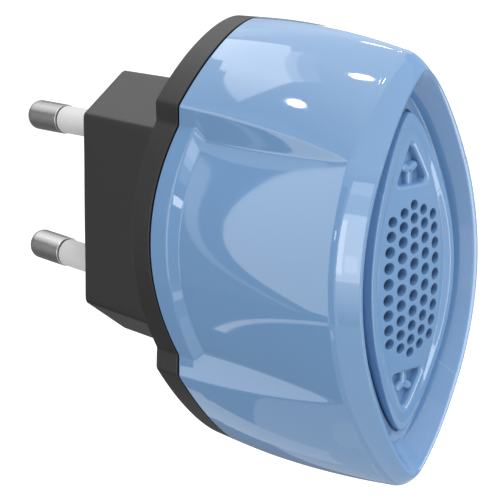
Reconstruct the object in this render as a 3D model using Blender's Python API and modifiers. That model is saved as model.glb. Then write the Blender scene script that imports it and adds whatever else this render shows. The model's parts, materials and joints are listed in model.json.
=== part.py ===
"""Plug-in ultrasonic pest repeller, built as an assembly of separate pieces.

The grille faces -Y, the two round pins point along +Y and Z is up. The origin is the centre of
the plug's pin face, the flat that meets the wall socket. Every length is in metres.
"""

import math
from dataclasses import dataclass, replace

import bmesh
import bpy
import numpy as np
from mathutils import Matrix, Vector

MM = 0.001

# Clearance between pieces that touch on the real object
FIT_GAP = 0.3 * MM

# Plug: the flat two-pin European section, a hexagon with its long points up and down
PLUG_HEIGHT = 35.3 * MM
PLUG_WIDTH = 13.7 * MM
PLUG_FLAT = 25.2 * MM
PLUG_REACH = 16.5 * MM
PLUG_DRAFT = 0.4 * MM
PLUG_EDGE = 0.6 * MM
PLUG_WALL = 2.0 * MM
PLUG_END_WALL = 3.2 * MM
PLUG_EAR = 1.2 * MM
PLUG_EAR_HEIGHT = 14.0 * MM
PLUG_EAR_THICKNESS = 1.2 * MM

# Pins: they lean together a little towards their tips
PIN_DIAMETER = 4.0 * MM
PIN_LENGTH = 19.0 * MM
PIN_BARE_LENGTH = 7.0 * MM
PIN_PITCH = 19.2 * MM
PIN_TIP_PITCH = 18.2 * MM
PIN_CORE_DIAMETER = 2.6 * MM
PIN_HEAD_DIAMETER = 5.0 * MM
PIN_HEAD_THICKNESS = 1.2 * MM
PIN_TAIL_DIAMETER = 1.6 * MM
PIN_TAIL_LENGTH = 3.0 * MM
SLEEVE_DIAMETER = 3.7 * MM

# Case outline at the parting line between the front shell and the back cover
CASE_WIDTH = 25.6 * MM
CASE_HEIGHT = 54.4 * MM
SHOULDER_X = 9.0 * MM
SHOULDER_TOP = 17.0 * MM
SHOULDER_FOOT = 14.5 * MM
PARTING_BOW = 5.2 * MM
COVER_DEPTH = 3.4 * MM
COVER_BOW = 5.0 * MM
COVER_DRAFT = 0.2 * MM
COVER_EDGE = 0.6 * MM
COVER_WALL = 1.8 * MM
SHELL_WALL = 1.8 * MM

# Grip panels on the two flanks, set in behind a rim band
RIM_BAND = 3.3 * MM
GRIP_BEVEL = 1.7 * MM
GRIP_DEPTH = 0.8 * MM
GRIP_SET_IN = 1.1 * MM
GRIP_CROWN = 0.4 * MM
TOP_CROWN = 0.65 * MM
SHOULDER_CROWN = 0.55 * MM
GRIP_DIP = 0.5 * MM

# Front of the shell: pointed ovals from the ridge in to the grille's seat
FRONT_DEPTH = 33.1 * MM
FRONT_WIDTH = 23.0 * MM
FRONT_HEIGHT = 52.4 * MM
BAND_DEPTH = 3.7 * MM
BAND_WIDTH = 1.5 * MM
BAND_DROP = 1.95 * MM
LIP_WIDTH = 0.6 * MM
LIP_DROP = 0.2 * MM
SLOPE_WIDTH = 1.3 * MM
SLOPE_LENGTH = 2.75 * MM
SLOPE_DEPTH = 2.3 * MM
GROOVE_WIDTH = 0.75 * MM
GROOVE_LENGTH = 1.55 * MM
TIP_ROUND = 1.0 * MM
SEAT_DEPTH = 0.8 * MM
SEAT_LEDGE = 1.75 * MM
SEAT_THICKNESS = 1.4 * MM
SOUND_PORT_HEIGHT = 23.0 * MM

# Grille plate
GRILLE_PROUD = 1.4 * MM
GRILLE_ARCH = 0.9 * MM
GRILLE_BEAD = 0.9 * MM
GRILLE_BEAD_RISE = 0.25 * MM
HOLE_DIAMETER = 1.4 * MM
HOLE_PITCH = 1.9 * MM
HOLE_WRAP_RADIUS = 12.8 * MM
HOLE_COLUMNS = (9, 10, 11, 10, 9)
HOLE_COLUMN_PITCH = 1.97 * MM
POCKET_APEX = 15.6 * MM
POCKET_FOOT = 11.3 * MM
POCKET_WIDTH = 4.9 * MM
POCKET_DEPTH = 0.8 * MM

# Ultrasonic transducer
TRANSDUCER_DIAMETER = 16.0 * MM
TRANSDUCER_LENGTH = 12.0 * MM
TRANSDUCER_WALL = 0.5 * MM
TRANSDUCER_LIP = 1.5 * MM
TRANSDUCER_BASE_THICKNESS = 2.0 * MM
PIEZO_DIAMETER = 11.5 * MM
PIEZO_THICKNESS = 1.2 * MM
CONE_DIAMETER = 9.6 * MM
CONE_HEIGHT = 3.4 * MM
CONE_WALL = 0.4 * MM
CONE_FOOT_DIAMETER = 3.0 * MM
GASKET_THICKNESS = 1.0 * MM
GASKET_RING_WIDTH = 1.5 * MM

# Circuit board and the parts on it
BOARD_THICKNESS = 1.6 * MM
BOARD_CLEARANCE = 0.8 * MM
BOARD_END_GAP = 0.7 * MM
BOARD_CORNER = 3.0 * MM
PART_SPACING = 1.0 * MM
FILM_CAP_WIDTH = 9.0 * MM
FILM_CAP_THICKNESS = 5.2 * MM
FILM_CAP_HEIGHT = 8.0 * MM
CAN_DIAMETER = 6.3 * MM
CAN_HEIGHT = 9.5 * MM
INDUCTOR_DIAMETER = 6.5 * MM
INDUCTOR_HEIGHT = 7.0 * MM
INDUCTOR_WAIST = 4.6 * MM
INDUCTOR_FLANGE = 1.2 * MM
BRIDGE_WIDTH = 8.0 * MM
BRIDGE_LENGTH = 4.4 * MM
BRIDGE_HEIGHT = 3.2 * MM
FUSE_DIAMETER = 2.6 * MM
FUSE_LENGTH = 7.0 * MM
BLEED_DIAMETER = 2.2 * MM
BLEED_LENGTH = 6.0 * MM
CHIP_WIDTH = 3.4 * MM
CHIP_LENGTH = 6.0 * MM
CHIP_HEIGHT = 1.5 * MM
LEAD_DIAMETER = 1.2 * MM

# Fasteners and the bosses that take them
CASE_SCREW_INSET = 4.8 * MM
CASE_SCREW_LENGTH = 10.0 * MM
BOARD_SCREW_INSET = 3.4 * MM
BOARD_SCREW_LENGTH = 6.0 * MM
SCREW_DIAMETER = 2.2 * MM
SCREW_HEAD_DIAMETER = 3.8 * MM
SCREW_HEAD_HEIGHT = 1.3 * MM
SCREW_HEAD_SINK = 0.4 * MM
CASE_BOSS_DIAMETER = 5.0 * MM
COVER_BOSS_DIAMETER = 6.6 * MM
BOARD_POST_DIAMETER = 4.2 * MM

# Mesh fineness
SHARP_ANGLE = math.radians(14)
CAP_POINTS = 9
CAP_CROWDING = 1.4
GRIP_POINTS = 5
ROUND_STEPS = 24
EDGE_STEPS = 2
MERGE_DISTANCE = 0.001 * MM
HOLE_SIDES = 10
FLANK_STATIONS = (0.2, 0.36, 0.52, 0.68, 0.84)
BAND_STATIONS = (0.0, 0.4, 0.75, 1.0)
CHAMBER_STATIONS = (1.0, 0.8, 0.6, 0.4, 0.17)
FLOOR_STATIONS = (0.2, 0.5, 0.75)
GRILLE_STATIONS = (0.75, 0.5, 0.2)
NOSE_ANGLES = (0, 25, 48, 70, 90)
ROUTE_STEPS = 4
CAP_PULL = 0.56
SHOULDER_SHARE = 0.565
WAIST_SHARE = 0.535

# How quickly the two bowed walls lean forward towards the tips of the case
PARTING_POWER = 2.0
COVER_POWER = 3.0

# How the front band rounds over: gently at the sides, fully at the tips
SIDE_POWER = 1.25
TIP_POWER = 2.0

# Where the middle of a quarter round lies, as a share of its radius from both of its sides
ROUND_SHARE = 1.0 - math.sqrt(0.5)

# Depths along Y that several pieces share
COVER_BACK_Y = -PLUG_REACH
PARTING_Y = COVER_BACK_Y - COVER_DEPTH
SHELL_BACK_Y = PARTING_Y - FIT_GAP
FRONT_Y = PARTING_Y - FRONT_DEPTH
RIDGE_Y = FRONT_Y + BAND_DEPTH
SLOPE_FOOT_Y = FRONT_Y + LIP_DROP + SLOPE_DEPTH
SEAT_Y = SLOPE_FOOT_Y + SEAT_DEPTH
CHAMBER_Y = SEAT_Y + SEAT_THICKNESS
GASKET_Y = CHAMBER_Y + FIT_GAP
TRANSDUCER_Y = GASKET_Y + GASKET_THICKNESS + FIT_GAP
BOARD_FRONT_Y = TRANSDUCER_Y + TRANSDUCER_LENGTH + FIT_GAP
BOARD_BACK_Y = BOARD_FRONT_Y + BOARD_THICKNESS
BOARD_SEAT_Y = BOARD_BACK_Y + FIT_GAP


def start_scene():
    """Empty the scene and make one collection for the pieces and one for the cutters."""
    for item in list(bpy.data.objects):
        bpy.data.objects.remove(item, do_unlink=True)
    collections = []
    for name in ("pest_repeller", "cutters"):
        collection = bpy.data.collections.new(name)
        bpy.context.scene.collection.children.link(collection)
        collections.append(collection)
    return collections


PIECES, CUTTERS = start_scene()


def finish(name, colour, roughness, metallic=0.0):
    """A plain Principled material."""
    material = bpy.data.materials.new(name)
    material.use_nodes = True
    shader = material.node_tree.nodes["Principled BSDF"]
    shader.inputs["Base Color"].default_value = (*colour, 1.0)
    shader.inputs["Roughness"].default_value = roughness
    shader.inputs["Metallic"].default_value = metallic
    return material


BLUE = finish("blue_plastic", (0.19, 0.36, 0.62), 0.18)
BLACK = finish("black_plastic", (0.035, 0.035, 0.036), 0.45)
NICKEL = finish("nickel_plate", (0.62, 0.60, 0.57), 0.28, 1.0)
SLEEVE_GREY = finish("sleeve_plastic", (0.62, 0.62, 0.62), 0.4)
ALUMINIUM = finish("aluminium", (0.75, 0.75, 0.76), 0.35, 1.0)
CERAMIC = finish("piezo_ceramic", (0.72, 0.66, 0.52), 0.5)
FOAM = finish("gasket_foam", (0.05, 0.05, 0.05), 0.9)
LAMINATE = finish("board_laminate", (0.03, 0.18, 0.07), 0.45)
YELLOW = finish("film_cap_yellow", (0.75, 0.5, 0.06), 0.4)
SLATE = finish("can_sleeve", (0.05, 0.06, 0.12), 0.4)
FERRITE = finish("ferrite", (0.06, 0.06, 0.065), 0.6)
EPOXY = finish("moulding_epoxy", (0.02, 0.02, 0.02), 0.55)
RESISTOR = finish("resistor_coat", (0.45, 0.56, 0.6), 0.5)
WIRE_RED = finish("wire_red", (0.5, 0.03, 0.02), 0.45)
STEEL = finish("screw_steel", (0.55, 0.55, 0.56), 0.35, 1.0)


def place(name, mesh, material=None):
    """Wrap a mesh in an object, smooth-shaded with its sharp edges kept."""
    item = bpy.data.objects.new(name, mesh)
    PIECES.objects.link(item)
    if material:
        mesh.materials.append(material)
    mesh.shade_smooth()
    mesh.set_sharp_from_angle(angle=SHARP_ANGLE)
    return item


def as_cutter(item):
    """Keep a shape out of the pieces: it only cuts or adds to others."""
    for collection in list(item.users_collection):
        collection.objects.unlink(item)
    CUTTERS.objects.link(item)
    item.hide_render = True
    item.display_type = "WIRE"
    return item


def combine(item, tool, operation):
    """Cut a piece with a tool shape, or join the tool to it."""
    change = item.modifiers.new(tool.name, "BOOLEAN")
    change.operation = operation
    change.object = tool
    change.solver = "EXACT"


def mesh_from(name, build):
    """Make a mesh from a function that fills a bmesh, with its faces turned outwards."""
    shape = bmesh.new()
    build(shape)
    bmesh.ops.recalc_face_normals(shape, faces=shape.faces)
    mesh = bpy.data.meshes.new(name)
    shape.to_mesh(mesh)
    shape.free()
    return mesh


def loft(name, rings, closed):
    """Skin a list of point rings. A closed loft joins its last ring to its first, which makes a
    wall round a hole; an open one is capped at both ends with a fan round its middle."""

    def build(shape):
        rows = [[shape.verts.new(point) for point in ring] for ring in rings]
        pairs = list(zip(rows, rows[1:]))
        if closed:
            pairs.append((rows[-1], rows[0]))
        for near, far in pairs:
            for index in range(len(near)):
                after = (index + 1) % len(near)
                shape.faces.new((near[index], near[after], far[after], far[index]))
        if not closed:
            for row in (rows[0], rows[-1]):
                middle = sum((vert.co for vert in row), Vector()) / len(row)
                hub = shape.verts.new(middle)
                for index in range(len(row)):
                    shape.faces.new((row[index], row[(index + 1) % len(row)], hub))

    return mesh_from(name, build)


def turned(name, profile, material, matrix):
    """A turned piece: a half profile of (radius, height) points, spun round its own Z axis.
    The profile runs down the outer side, and closes on itself when it is clear of the axis."""
    mesh = bpy.data.meshes.new(name)
    points = [(radius, 0.0, height) for radius, height in profile]
    edges = [(index, index + 1) for index in range(len(points) - 1)]
    if profile[0][0] > 0.0:
        edges.append((len(points) - 1, 0))
    mesh.from_pydata(points, edges, [])
    item = place(name, mesh, material)
    spin = item.modifiers.new("spin", "SCREW")
    spin.steps = ROUND_STEPS
    spin.render_steps = ROUND_STEPS
    spin.use_merge_vertices = True
    spin.merge_threshold = MERGE_DISTANCE
    spin.use_smooth_shade = True
    item.matrix_world = matrix
    return item


def block(name, size, centre, material, edge):
    """A box with bevelled edges."""
    mesh = mesh_from(name, lambda shape: bmesh.ops.create_cube(shape, size=1.0))
    mesh.transform(Matrix.Diagonal((*size, 1.0)))
    item = place(name, mesh, material)
    item.location = centre
    bevel = item.modifiers.new("edges", "BEVEL")
    bevel.width = edge
    bevel.segments = EDGE_STEPS
    return item


def rod(name, radius, start, end):
    """A plain cylinder between two points, used as a cutter or a boss."""
    start, end = Vector(start), Vector(end)
    length = (end - start).length

    def build(shape):
        bmesh.ops.create_cone(
            shape, cap_ends=True, segments=ROUND_STEPS, radius1=radius, radius2=radius, depth=length)

    item = place(name, mesh_from(name, build))
    turn = (end - start).to_track_quat("Z", "Y").to_matrix().to_4x4()
    item.matrix_world = Matrix.Translation((start + end) / 2) @ turn
    return as_cutter(item)


FACING_FRONT = Matrix.Rotation(math.radians(90), 4, "X")
FACING_BACK = Matrix.Rotation(math.radians(-90), 4, "X")


def at_depth(x, y, z, facing):
    """Stand a turned piece's axis along Y: its height runs towards the front or the back."""
    return Matrix.Translation((x, y, z)) @ facing


def bowed(y, bow, power, z):
    """The depth of a wall at a height, when it leans forward by its bow at the case's tips."""
    return y - bow * (np.abs(z) / (CASE_HEIGHT / 2))**power


@dataclass
class Section:
    """One outline of the case across Y. Seen from the front it runs from its tip down to the
    shoulder, along the shoulder's flat to the waist, and out to full width at mid height."""

    y: float
    bow: float
    power: float
    width: float
    shoulder_x: float
    shoulder_z: float
    waist_x: float
    waist_z: float
    top: float
    lean: float

    def ring(self):
        """The outline as points, from the top tip down the -X side and back up the other."""
        tip_z = self.top + self.lean * TIP_ROUND
        pull_x = CAP_PULL * self.shoulder_x
        pull_z = tip_z - self.lean * pull_x
        run = np.linspace(0.0, 1.0, CAP_POINTS + 1)**CAP_CROWDING
        cap_x = 2 * run * (1 - run) * pull_x + run**2 * self.shoulder_x
        cap_z = (1 - run)**2 * tip_z + 2 * run * (1 - run) * pull_z + run**2 * self.shoulder_z
        cap_z = cap_z - self.lean * (np.sqrt(cap_x**2 + TIP_ROUND**2) - cap_x)
        grip_z = np.linspace(self.waist_z, 0.0, GRIP_POINTS + 1)
        grip_x = self.width - (self.width - self.waist_x) * (grip_z / self.waist_z)**2
        quarter_x = np.concatenate([cap_x, grip_x])
        quarter_z = np.concatenate([cap_z, grip_z])
        side_x = np.concatenate([quarter_x, quarter_x[-2::-1]])
        side_z = np.concatenate([quarter_z, -quarter_z[-2::-1]])
        x = np.concatenate([-side_x, side_x[-2:0:-1]])
        z = np.concatenate([side_z, side_z[-2:0:-1]])
        return np.stack([x, bowed(self.y, self.bow, self.power, z), z], axis=1)

    def inset(self, wall):
        """The same outline drawn in by a wall thickness."""
        return replace(
            self, width=self.width - wall, shoulder_x=self.shoulder_x - wall,
            waist_x=self.waist_x - wall, top=self.top - wall)


def pointed_oval(y, width, height):
    """Two equal arcs that meet in a point at top and bottom, given by half width and height."""
    arc = (height**2 + width**2) / (2 * width)

    def reach(z):
        return width - arc + math.sqrt(arc**2 - z**2)

    high, low = SHOULDER_SHARE * height, WAIST_SHARE * height
    return Section(
        y=y, bow=0.0, power=PARTING_POWER, width=width, shoulder_x=reach(high), shoulder_z=high,
        waist_x=reach(low), waist_z=low, top=height, lean=(arc - width) / height)


RIM = Section(
    y=PARTING_Y, bow=PARTING_BOW, power=PARTING_POWER, width=CASE_WIDTH / 2,
    shoulder_x=SHOULDER_X, shoulder_z=SHOULDER_TOP, waist_x=SHOULDER_X, waist_z=SHOULDER_FOOT,
    top=CASE_HEIGHT / 2, lean=0.0)
GRIP_BACK = replace(RIM, width=RIM.width - GRIP_DEPTH, waist_z=SHOULDER_FOOT - GRIP_SET_IN)
RIDGE = pointed_oval(RIDGE_Y, FRONT_WIDTH / 2, FRONT_HEIGHT / 2)


def mix(back, front, share):
    """The case outline part of the way from the rim to the front ridge, with its crowns."""

    def between(field):
        start, end = getattr(back, field), getattr(front, field)
        return start + (end - start) * share

    swell = 4 * share * (1 - share)
    plain = Section(**{field: between(field) for field in Section.__dataclass_fields__})
    return replace(
        plain, width=plain.width + GRIP_CROWN * swell, top=plain.top + TOP_CROWN * swell,
        shoulder_z=plain.shoulder_z + SHOULDER_CROWN * swell,
        waist_z=plain.waist_z - GRIP_DIP * swell,
        lean=front.lean * share**2)


def share_at(depth):
    """How far a depth behind the parting line is on the way to the front ridge."""
    return depth / (PARTING_Y - RIDGE_Y)


def case_section(share):
    """The outside of the shell's flank, past the bevel that sets the grip panel in."""
    return mix(GRIP_BACK, RIDGE, share)


def rim_section(depth):
    """The outside of the rim band, between the parting line and the grip bevel."""
    section = mix(RIM, RIDGE, share_at(depth))
    return replace(
        section, width=RIM.width, waist_x=RIM.waist_x, waist_z=RIM.waist_z)


def cover_section(y, draw_in):
    """The back cover's outline at a depth, drawn in by its draft."""
    return replace(RIM.inset(draw_in), y=y, bow=COVER_BOW, power=COVER_POWER)


def scaled(section, share, y):
    """A smaller outline of the same kind, for the rings that close a wall over."""
    ring = section.ring()
    ring[:, 0] *= share
    ring[:, 2] *= share
    ring[:, 1] = bowed(y, section.bow, section.power, ring[:, 2])
    return ring


def front_band(share):
    """The band from the ridge to the front crest: nearly flat at the sides, rounded at the tips."""
    return pointed_oval(
        RIDGE_Y - BAND_DEPTH * share, RIDGE.width - BAND_WIDTH * share**SIDE_POWER,
        RIDGE.top - BAND_DROP * share**TIP_POWER)


CREST = front_band(1.0)
OPENING = pointed_oval(FRONT_Y + LIP_DROP, CREST.width - LIP_WIDTH, CREST.top - LIP_WIDTH)
SLOPE_FOOT = pointed_oval(SLOPE_FOOT_Y, OPENING.width - SLOPE_WIDTH, OPENING.top - SLOPE_LENGTH)
SEAT_MOUTH = pointed_oval(
    SLOPE_FOOT_Y, SLOPE_FOOT.width - GROOVE_WIDTH, SLOPE_FOOT.top - GROOVE_LENGTH)
SEAT_RIM = replace(SEAT_MOUTH, y=SEAT_Y)
SOUND_PORT = pointed_oval(SEAT_Y, SEAT_RIM.width - SEAT_LEDGE, SOUND_PORT_HEIGHT / 2)
GRILLE = pointed_oval(SEAT_Y - FIT_GAP, SEAT_RIM.width - FIT_GAP, SEAT_RIM.top - FIT_GAP)


CASE_SCREW_Z = CASE_HEIGHT / 2 - CASE_SCREW_INSET
BOARD_END_Z = CASE_SCREW_Z - CASE_BOSS_DIAMETER / 2 - BOARD_END_GAP
BOARD_SCREW_Z = BOARD_END_Z - BOARD_SCREW_INSET


def boss_pair(height, radius, start_y, end_y, name):
    """Two round posts along Y, one above and one below the middle."""
    return [
        rod(f"{name}_{side}", radius, (0, start_y, sign * height), (0, end_y, sign * height))
        for side, sign in (("upper", 1), ("lower", -1))]


CASE_JOIN_Y = bowed(PARTING_Y, PARTING_BOW, PARTING_POWER, CASE_SCREW_Z) - FIT_GAP / 2
SCREW_SEAT_Y = (
    bowed(COVER_BACK_Y, COVER_BOW, COVER_POWER, CASE_SCREW_Z) - SCREW_HEAD_SINK - SCREW_HEAD_HEIGHT)


def make_front_shell():
    """The blue shell: flanks with set-in grip panels, a pointed front and the grille's seat."""
    bevel_share = share_at(RIM_BAND + GRIP_BEVEL)
    stations = [bevel_share + share * (1 - bevel_share) for share in FLANK_STATIONS]
    outside = [rim_section(FIT_GAP), rim_section(RIM_BAND)]
    outside += [case_section(share) for share in (bevel_share, *stations)]
    outside += [front_band(share) for share in BAND_STATIONS]
    outside += [OPENING, SLOPE_FOOT, SEAT_MOUTH, SEAT_RIM, SOUND_PORT]
    chamber_share = share_at(PARTING_Y - CHAMBER_Y)
    inside = [case_section(chamber_share * step).inset(SHELL_WALL) for step in CHAMBER_STATIONS]
    inside.append(replace(case_section(0).inset(SHELL_WALL), y=SHELL_BACK_Y))
    port_back = replace(SOUND_PORT, y=CHAMBER_Y)
    inside[0] = replace(inside[0], y=CHAMBER_Y, bow=0.0)
    rings = [section.ring() for section in (*outside, port_back, *inside)]
    shell = place("front_shell", loft("front_shell", rings, closed=True), BLUE)
    inner_end = CHAMBER_Y - SEAT_THICKNESS / 2
    posts = boss_pair(
        BOARD_SCREW_Z, BOARD_POST_DIAMETER / 2, inner_end, BOARD_FRONT_Y - FIT_GAP, "board_post")
    bosses = boss_pair(
        CASE_SCREW_Z, CASE_BOSS_DIAMETER / 2, inner_end, CASE_JOIN_Y - FIT_GAP / 2, "shell_boss")
    bores = boss_pair(
        CASE_SCREW_Z, SCREW_DIAMETER / 2 + FIT_GAP, SCREW_SEAT_Y - CASE_SCREW_LENGTH - FIT_GAP,
        CASE_JOIN_Y + FIT_GAP, "shell_bore")
    post_bores = boss_pair(
        BOARD_SCREW_Z, SCREW_DIAMETER / 2 + FIT_GAP, BOARD_SEAT_Y - BOARD_SCREW_LENGTH - FIT_GAP,
        BOARD_BACK_Y, "post_bore")
    for boss in (*posts, *bosses):
        combine(shell, boss, "UNION")
    for bore in (*bores, *post_bores):
        combine(shell, bore, "DIFFERENCE")


def make_back_cover():
    """The black back: a shallow bowed tray with a hole for the plug and two sunk screw seats."""
    back_edge = cover_section(COVER_BACK_Y, COVER_DRAFT + COVER_EDGE)
    soft = COVER_EDGE * ROUND_SHARE
    soft_edge = cover_section(COVER_BACK_Y - soft, COVER_DRAFT + soft)
    side_edge = cover_section(COVER_BACK_Y - COVER_EDGE, COVER_DRAFT)
    floor_y = COVER_BACK_Y - COVER_WALL
    inner_mouth = RIM.inset(COVER_WALL)
    floor_edge = replace(inner_mouth.inset(COVER_DRAFT), y=floor_y, bow=COVER_BOW, power=COVER_POWER)
    outside = (back_edge, soft_edge, side_edge, RIM)
    rings = [scaled(back_edge, share, COVER_BACK_Y) for share in FLOOR_STATIONS]
    rings += [section.ring() for section in (*outside, inner_mouth, floor_edge)]
    rings += [scaled(floor_edge, share, floor_y) for share in reversed(FLOOR_STATIONS)]
    cover = place("back_cover", loft("back_cover", rings, closed=False), BLACK)
    boss_root_y = bowed(COVER_BACK_Y - COVER_WALL / 2, COVER_BOW, COVER_POWER, CASE_SCREW_Z)
    bosses = boss_pair(
        CASE_SCREW_Z, COVER_BOSS_DIAMETER / 2, boss_root_y, CASE_JOIN_Y + FIT_GAP / 2, "cover_boss")
    for boss in bosses:
        combine(cover, boss, "UNION")
    open_y = COVER_BACK_Y + PLUG_REACH
    seats = boss_pair(
        CASE_SCREW_Z, SCREW_HEAD_DIAMETER / 2 + FIT_GAP, SCREW_SEAT_Y - FIT_GAP, open_y, "screw_seat")
    bores = boss_pair(
        CASE_SCREW_Z, SCREW_DIAMETER / 2 + FIT_GAP, CASE_JOIN_Y - COVER_DEPTH, open_y, "cover_bore")
    plug_hole = hexagon_prism("plug_hole", FIT_GAP, open_y, CASE_JOIN_Y - COVER_DEPTH)
    for cutter in (*seats, *bores, as_cutter(plug_hole)):
        combine(cover, cutter, "DIFFERENCE")


def hexagon(grow, y):
    """The plug's outline, each corner cut to a small flat, grown outwards on every side."""
    half_flat = PLUG_FLAT / 2 + grow / 2
    half_width = PLUG_WIDTH / 2 + grow
    apex = PLUG_HEIGHT / 2 + grow
    corners = [
        Vector((0, apex)), Vector((-half_width, half_flat)), Vector((-half_width, -half_flat)),
        Vector((0, -apex)), Vector((half_width, -half_flat)), Vector((half_width, half_flat))]
    points = []
    for index, corner in enumerate(corners):
        before, after = corners[index - 1], corners[(index + 1) % len(corners)]
        for neighbour in (before, after):
            step = corner + (neighbour - corner).normalized() * PLUG_EDGE
            points.append((step.x, y, step.y))
    return np.array(points)


def draft_at(y):
    """How far the plug's sides have spread at a depth behind its pin face."""
    return PLUG_DRAFT * -y / PLUG_REACH


def hexagon_prism(name, grow, start_y, end_y):
    """A straight-sided solid of the plug's outline at the cover, for cutting its hole."""
    spread = draft_at(COVER_BACK_Y - COVER_DEPTH) + grow
    rings = [hexagon(spread, start_y), hexagon(spread, end_y)]
    return place(name, loft(name, rings, closed=False))


def pin_axis(sign):
    """A pin's foot on the pin face and its direction, leaning towards the other pin."""
    foot = Vector((0, 0, sign * PIN_PITCH / 2))
    tip = Vector((0, PIN_LENGTH, sign * PIN_TIP_PITCH / 2))
    return foot, (tip - foot).normalized()


def pin_matrix(sign):
    """The frame of a turned piece whose height runs out along a pin."""
    foot, direction = pin_axis(sign)
    return Matrix.Translation(foot) @ direction.to_track_quat("Z", "X").to_matrix().to_4x4()


EAR_Y = bowed(COVER_BACK_Y - COVER_WALL, COVER_BOW, COVER_POWER, PLUG_EAR_HEIGHT / 2) - FIT_GAP
PLUG_MOUTH_Y = EAR_Y - PLUG_EAR_THICKNESS - FIT_GAP


def make_plug_body():
    """The hexagonal plug moulding: a deep cup with an ear each side behind the cover's floor,
    and two pin holes in its end."""
    spread = draft_at(PLUG_MOUTH_Y)
    rings = [hexagon(-PLUG_EDGE, 0.0), hexagon(0.0, -PLUG_EDGE), hexagon(spread, PLUG_MOUTH_Y)]
    plug = place("plug_body", loft("plug_body", rings, closed=False), BLACK)
    ear_width = PLUG_WIDTH + 2 * spread + 2 * PLUG_EAR
    ears = block(
        "plug_ears", (ear_width, PLUG_EAR_THICKNESS, PLUG_EAR_HEIGHT),
        (0, EAR_Y - PLUG_EAR_THICKNESS / 2, 0), None, FIT_GAP)
    combine(plug, as_cutter(ears), "UNION")
    past_mouth_y = PLUG_MOUTH_Y - PLUG_EAR_THICKNESS
    hollow = [hexagon(draft_at(y) - PLUG_WALL, y) for y in (-PLUG_END_WALL, past_mouth_y)]
    inside = place("plug_hollow", loft("plug_hollow", hollow, closed=False))
    combine(plug, as_cutter(inside), "DIFFERENCE")
    for name, sign in (("upper", 1), ("lower", -1)):
        foot, direction = pin_axis(sign)
        reach = direction * PLUG_END_WALL * 2
        hole = rod(f"pin_hole_{name}", SLEEVE_DIAMETER / 2 + FIT_GAP, foot - reach, foot + reach)
        combine(plug, hole, "DIFFERENCE")


def make_pin(name, sign):
    """A pin: rounded bare tip, slim core through the sleeve, a head inside and a solder tail."""
    radius, core = PIN_DIAMETER / 2, PIN_CORE_DIAMETER / 2
    shoulder = PIN_LENGTH - PIN_BARE_LENGTH
    head_top = -PLUG_END_WALL - FIT_GAP
    head_foot = head_top - PIN_HEAD_THICKNESS
    nose = [
        (radius * math.sin(angle), PIN_LENGTH - radius * (1 - math.cos(angle)))
        for angle in np.radians(NOSE_ANGLES)]
    profile = nose + [
        (radius, shoulder), (core, shoulder), (core, head_top), (PIN_HEAD_DIAMETER / 2, head_top),
        (PIN_HEAD_DIAMETER / 2, head_foot), (PIN_TAIL_DIAMETER / 2, head_foot),
        (PIN_TAIL_DIAMETER / 2, head_foot - PIN_TAIL_LENGTH), (0.0, head_foot - PIN_TAIL_LENGTH)]
    turned(f"pin_{name}", profile, NICKEL, pin_matrix(sign))


def make_sleeve(name, sign):
    """The insulating sleeve round a pin's core, from inside the plug to the bare tip."""
    outer, bore = SLEEVE_DIAMETER / 2, PIN_CORE_DIAMETER / 2 + FIT_GAP / 2
    end = PIN_LENGTH - PIN_BARE_LENGTH - FIT_GAP / 2
    profile = [(bore, end), (outer, end), (outer, -PLUG_END_WALL), (bore, -PLUG_END_WALL)]
    turned(f"pin_sleeve_{name}", profile, SLEEVE_GREY, pin_matrix(sign))


def grille_ring(share, rise):
    """A ring of the grille's arched face, at a share of its outline, raised by a little."""
    ring = scaled(GRILLE, share, 0.0)
    face_y = SLOPE_FOOT_Y - GRILLE_PROUD - rise
    ring[:, 1] = face_y + GRILLE_ARCH * (ring[:, 2] / GRILLE.top)**2
    return ring


def hole_centres():
    """The grille's holes: a staggered grid whose steps close up as on a ball seen flat on."""
    middle = (len(HOLE_COLUMNS) - 1) / 2
    for column, count in enumerate(HOLE_COLUMNS):
        for row in range(count):
            turn = (row - (count - 1) / 2) * HOLE_PITCH / HOLE_WRAP_RADIUS
            shrink = math.cos(turn)
            x = (column - middle) * HOLE_COLUMN_PITCH * shrink
            yield x, HOLE_WRAP_RADIUS * math.sin(turn), shrink


def pocket_cutter(name, sign):
    """A triangular recess near one tip of the grille, point outwards."""
    face_y = SLOPE_FOOT_Y - GRILLE_PROUD + GRILLE_ARCH * (POCKET_APEX / GRILLE.top)**2
    corners = [(0, POCKET_APEX), (-POCKET_WIDTH / 2, POCKET_FOOT), (POCKET_WIDTH / 2, POCKET_FOOT)]
    rings = [
        [(x, y, sign * z) for x, z in corners]
        for y in (face_y + POCKET_DEPTH, face_y - GRILLE_PROUD - GRILLE_ARCH)]
    return as_cutter(place(name, loft(name, rings, closed=False)))


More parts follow.
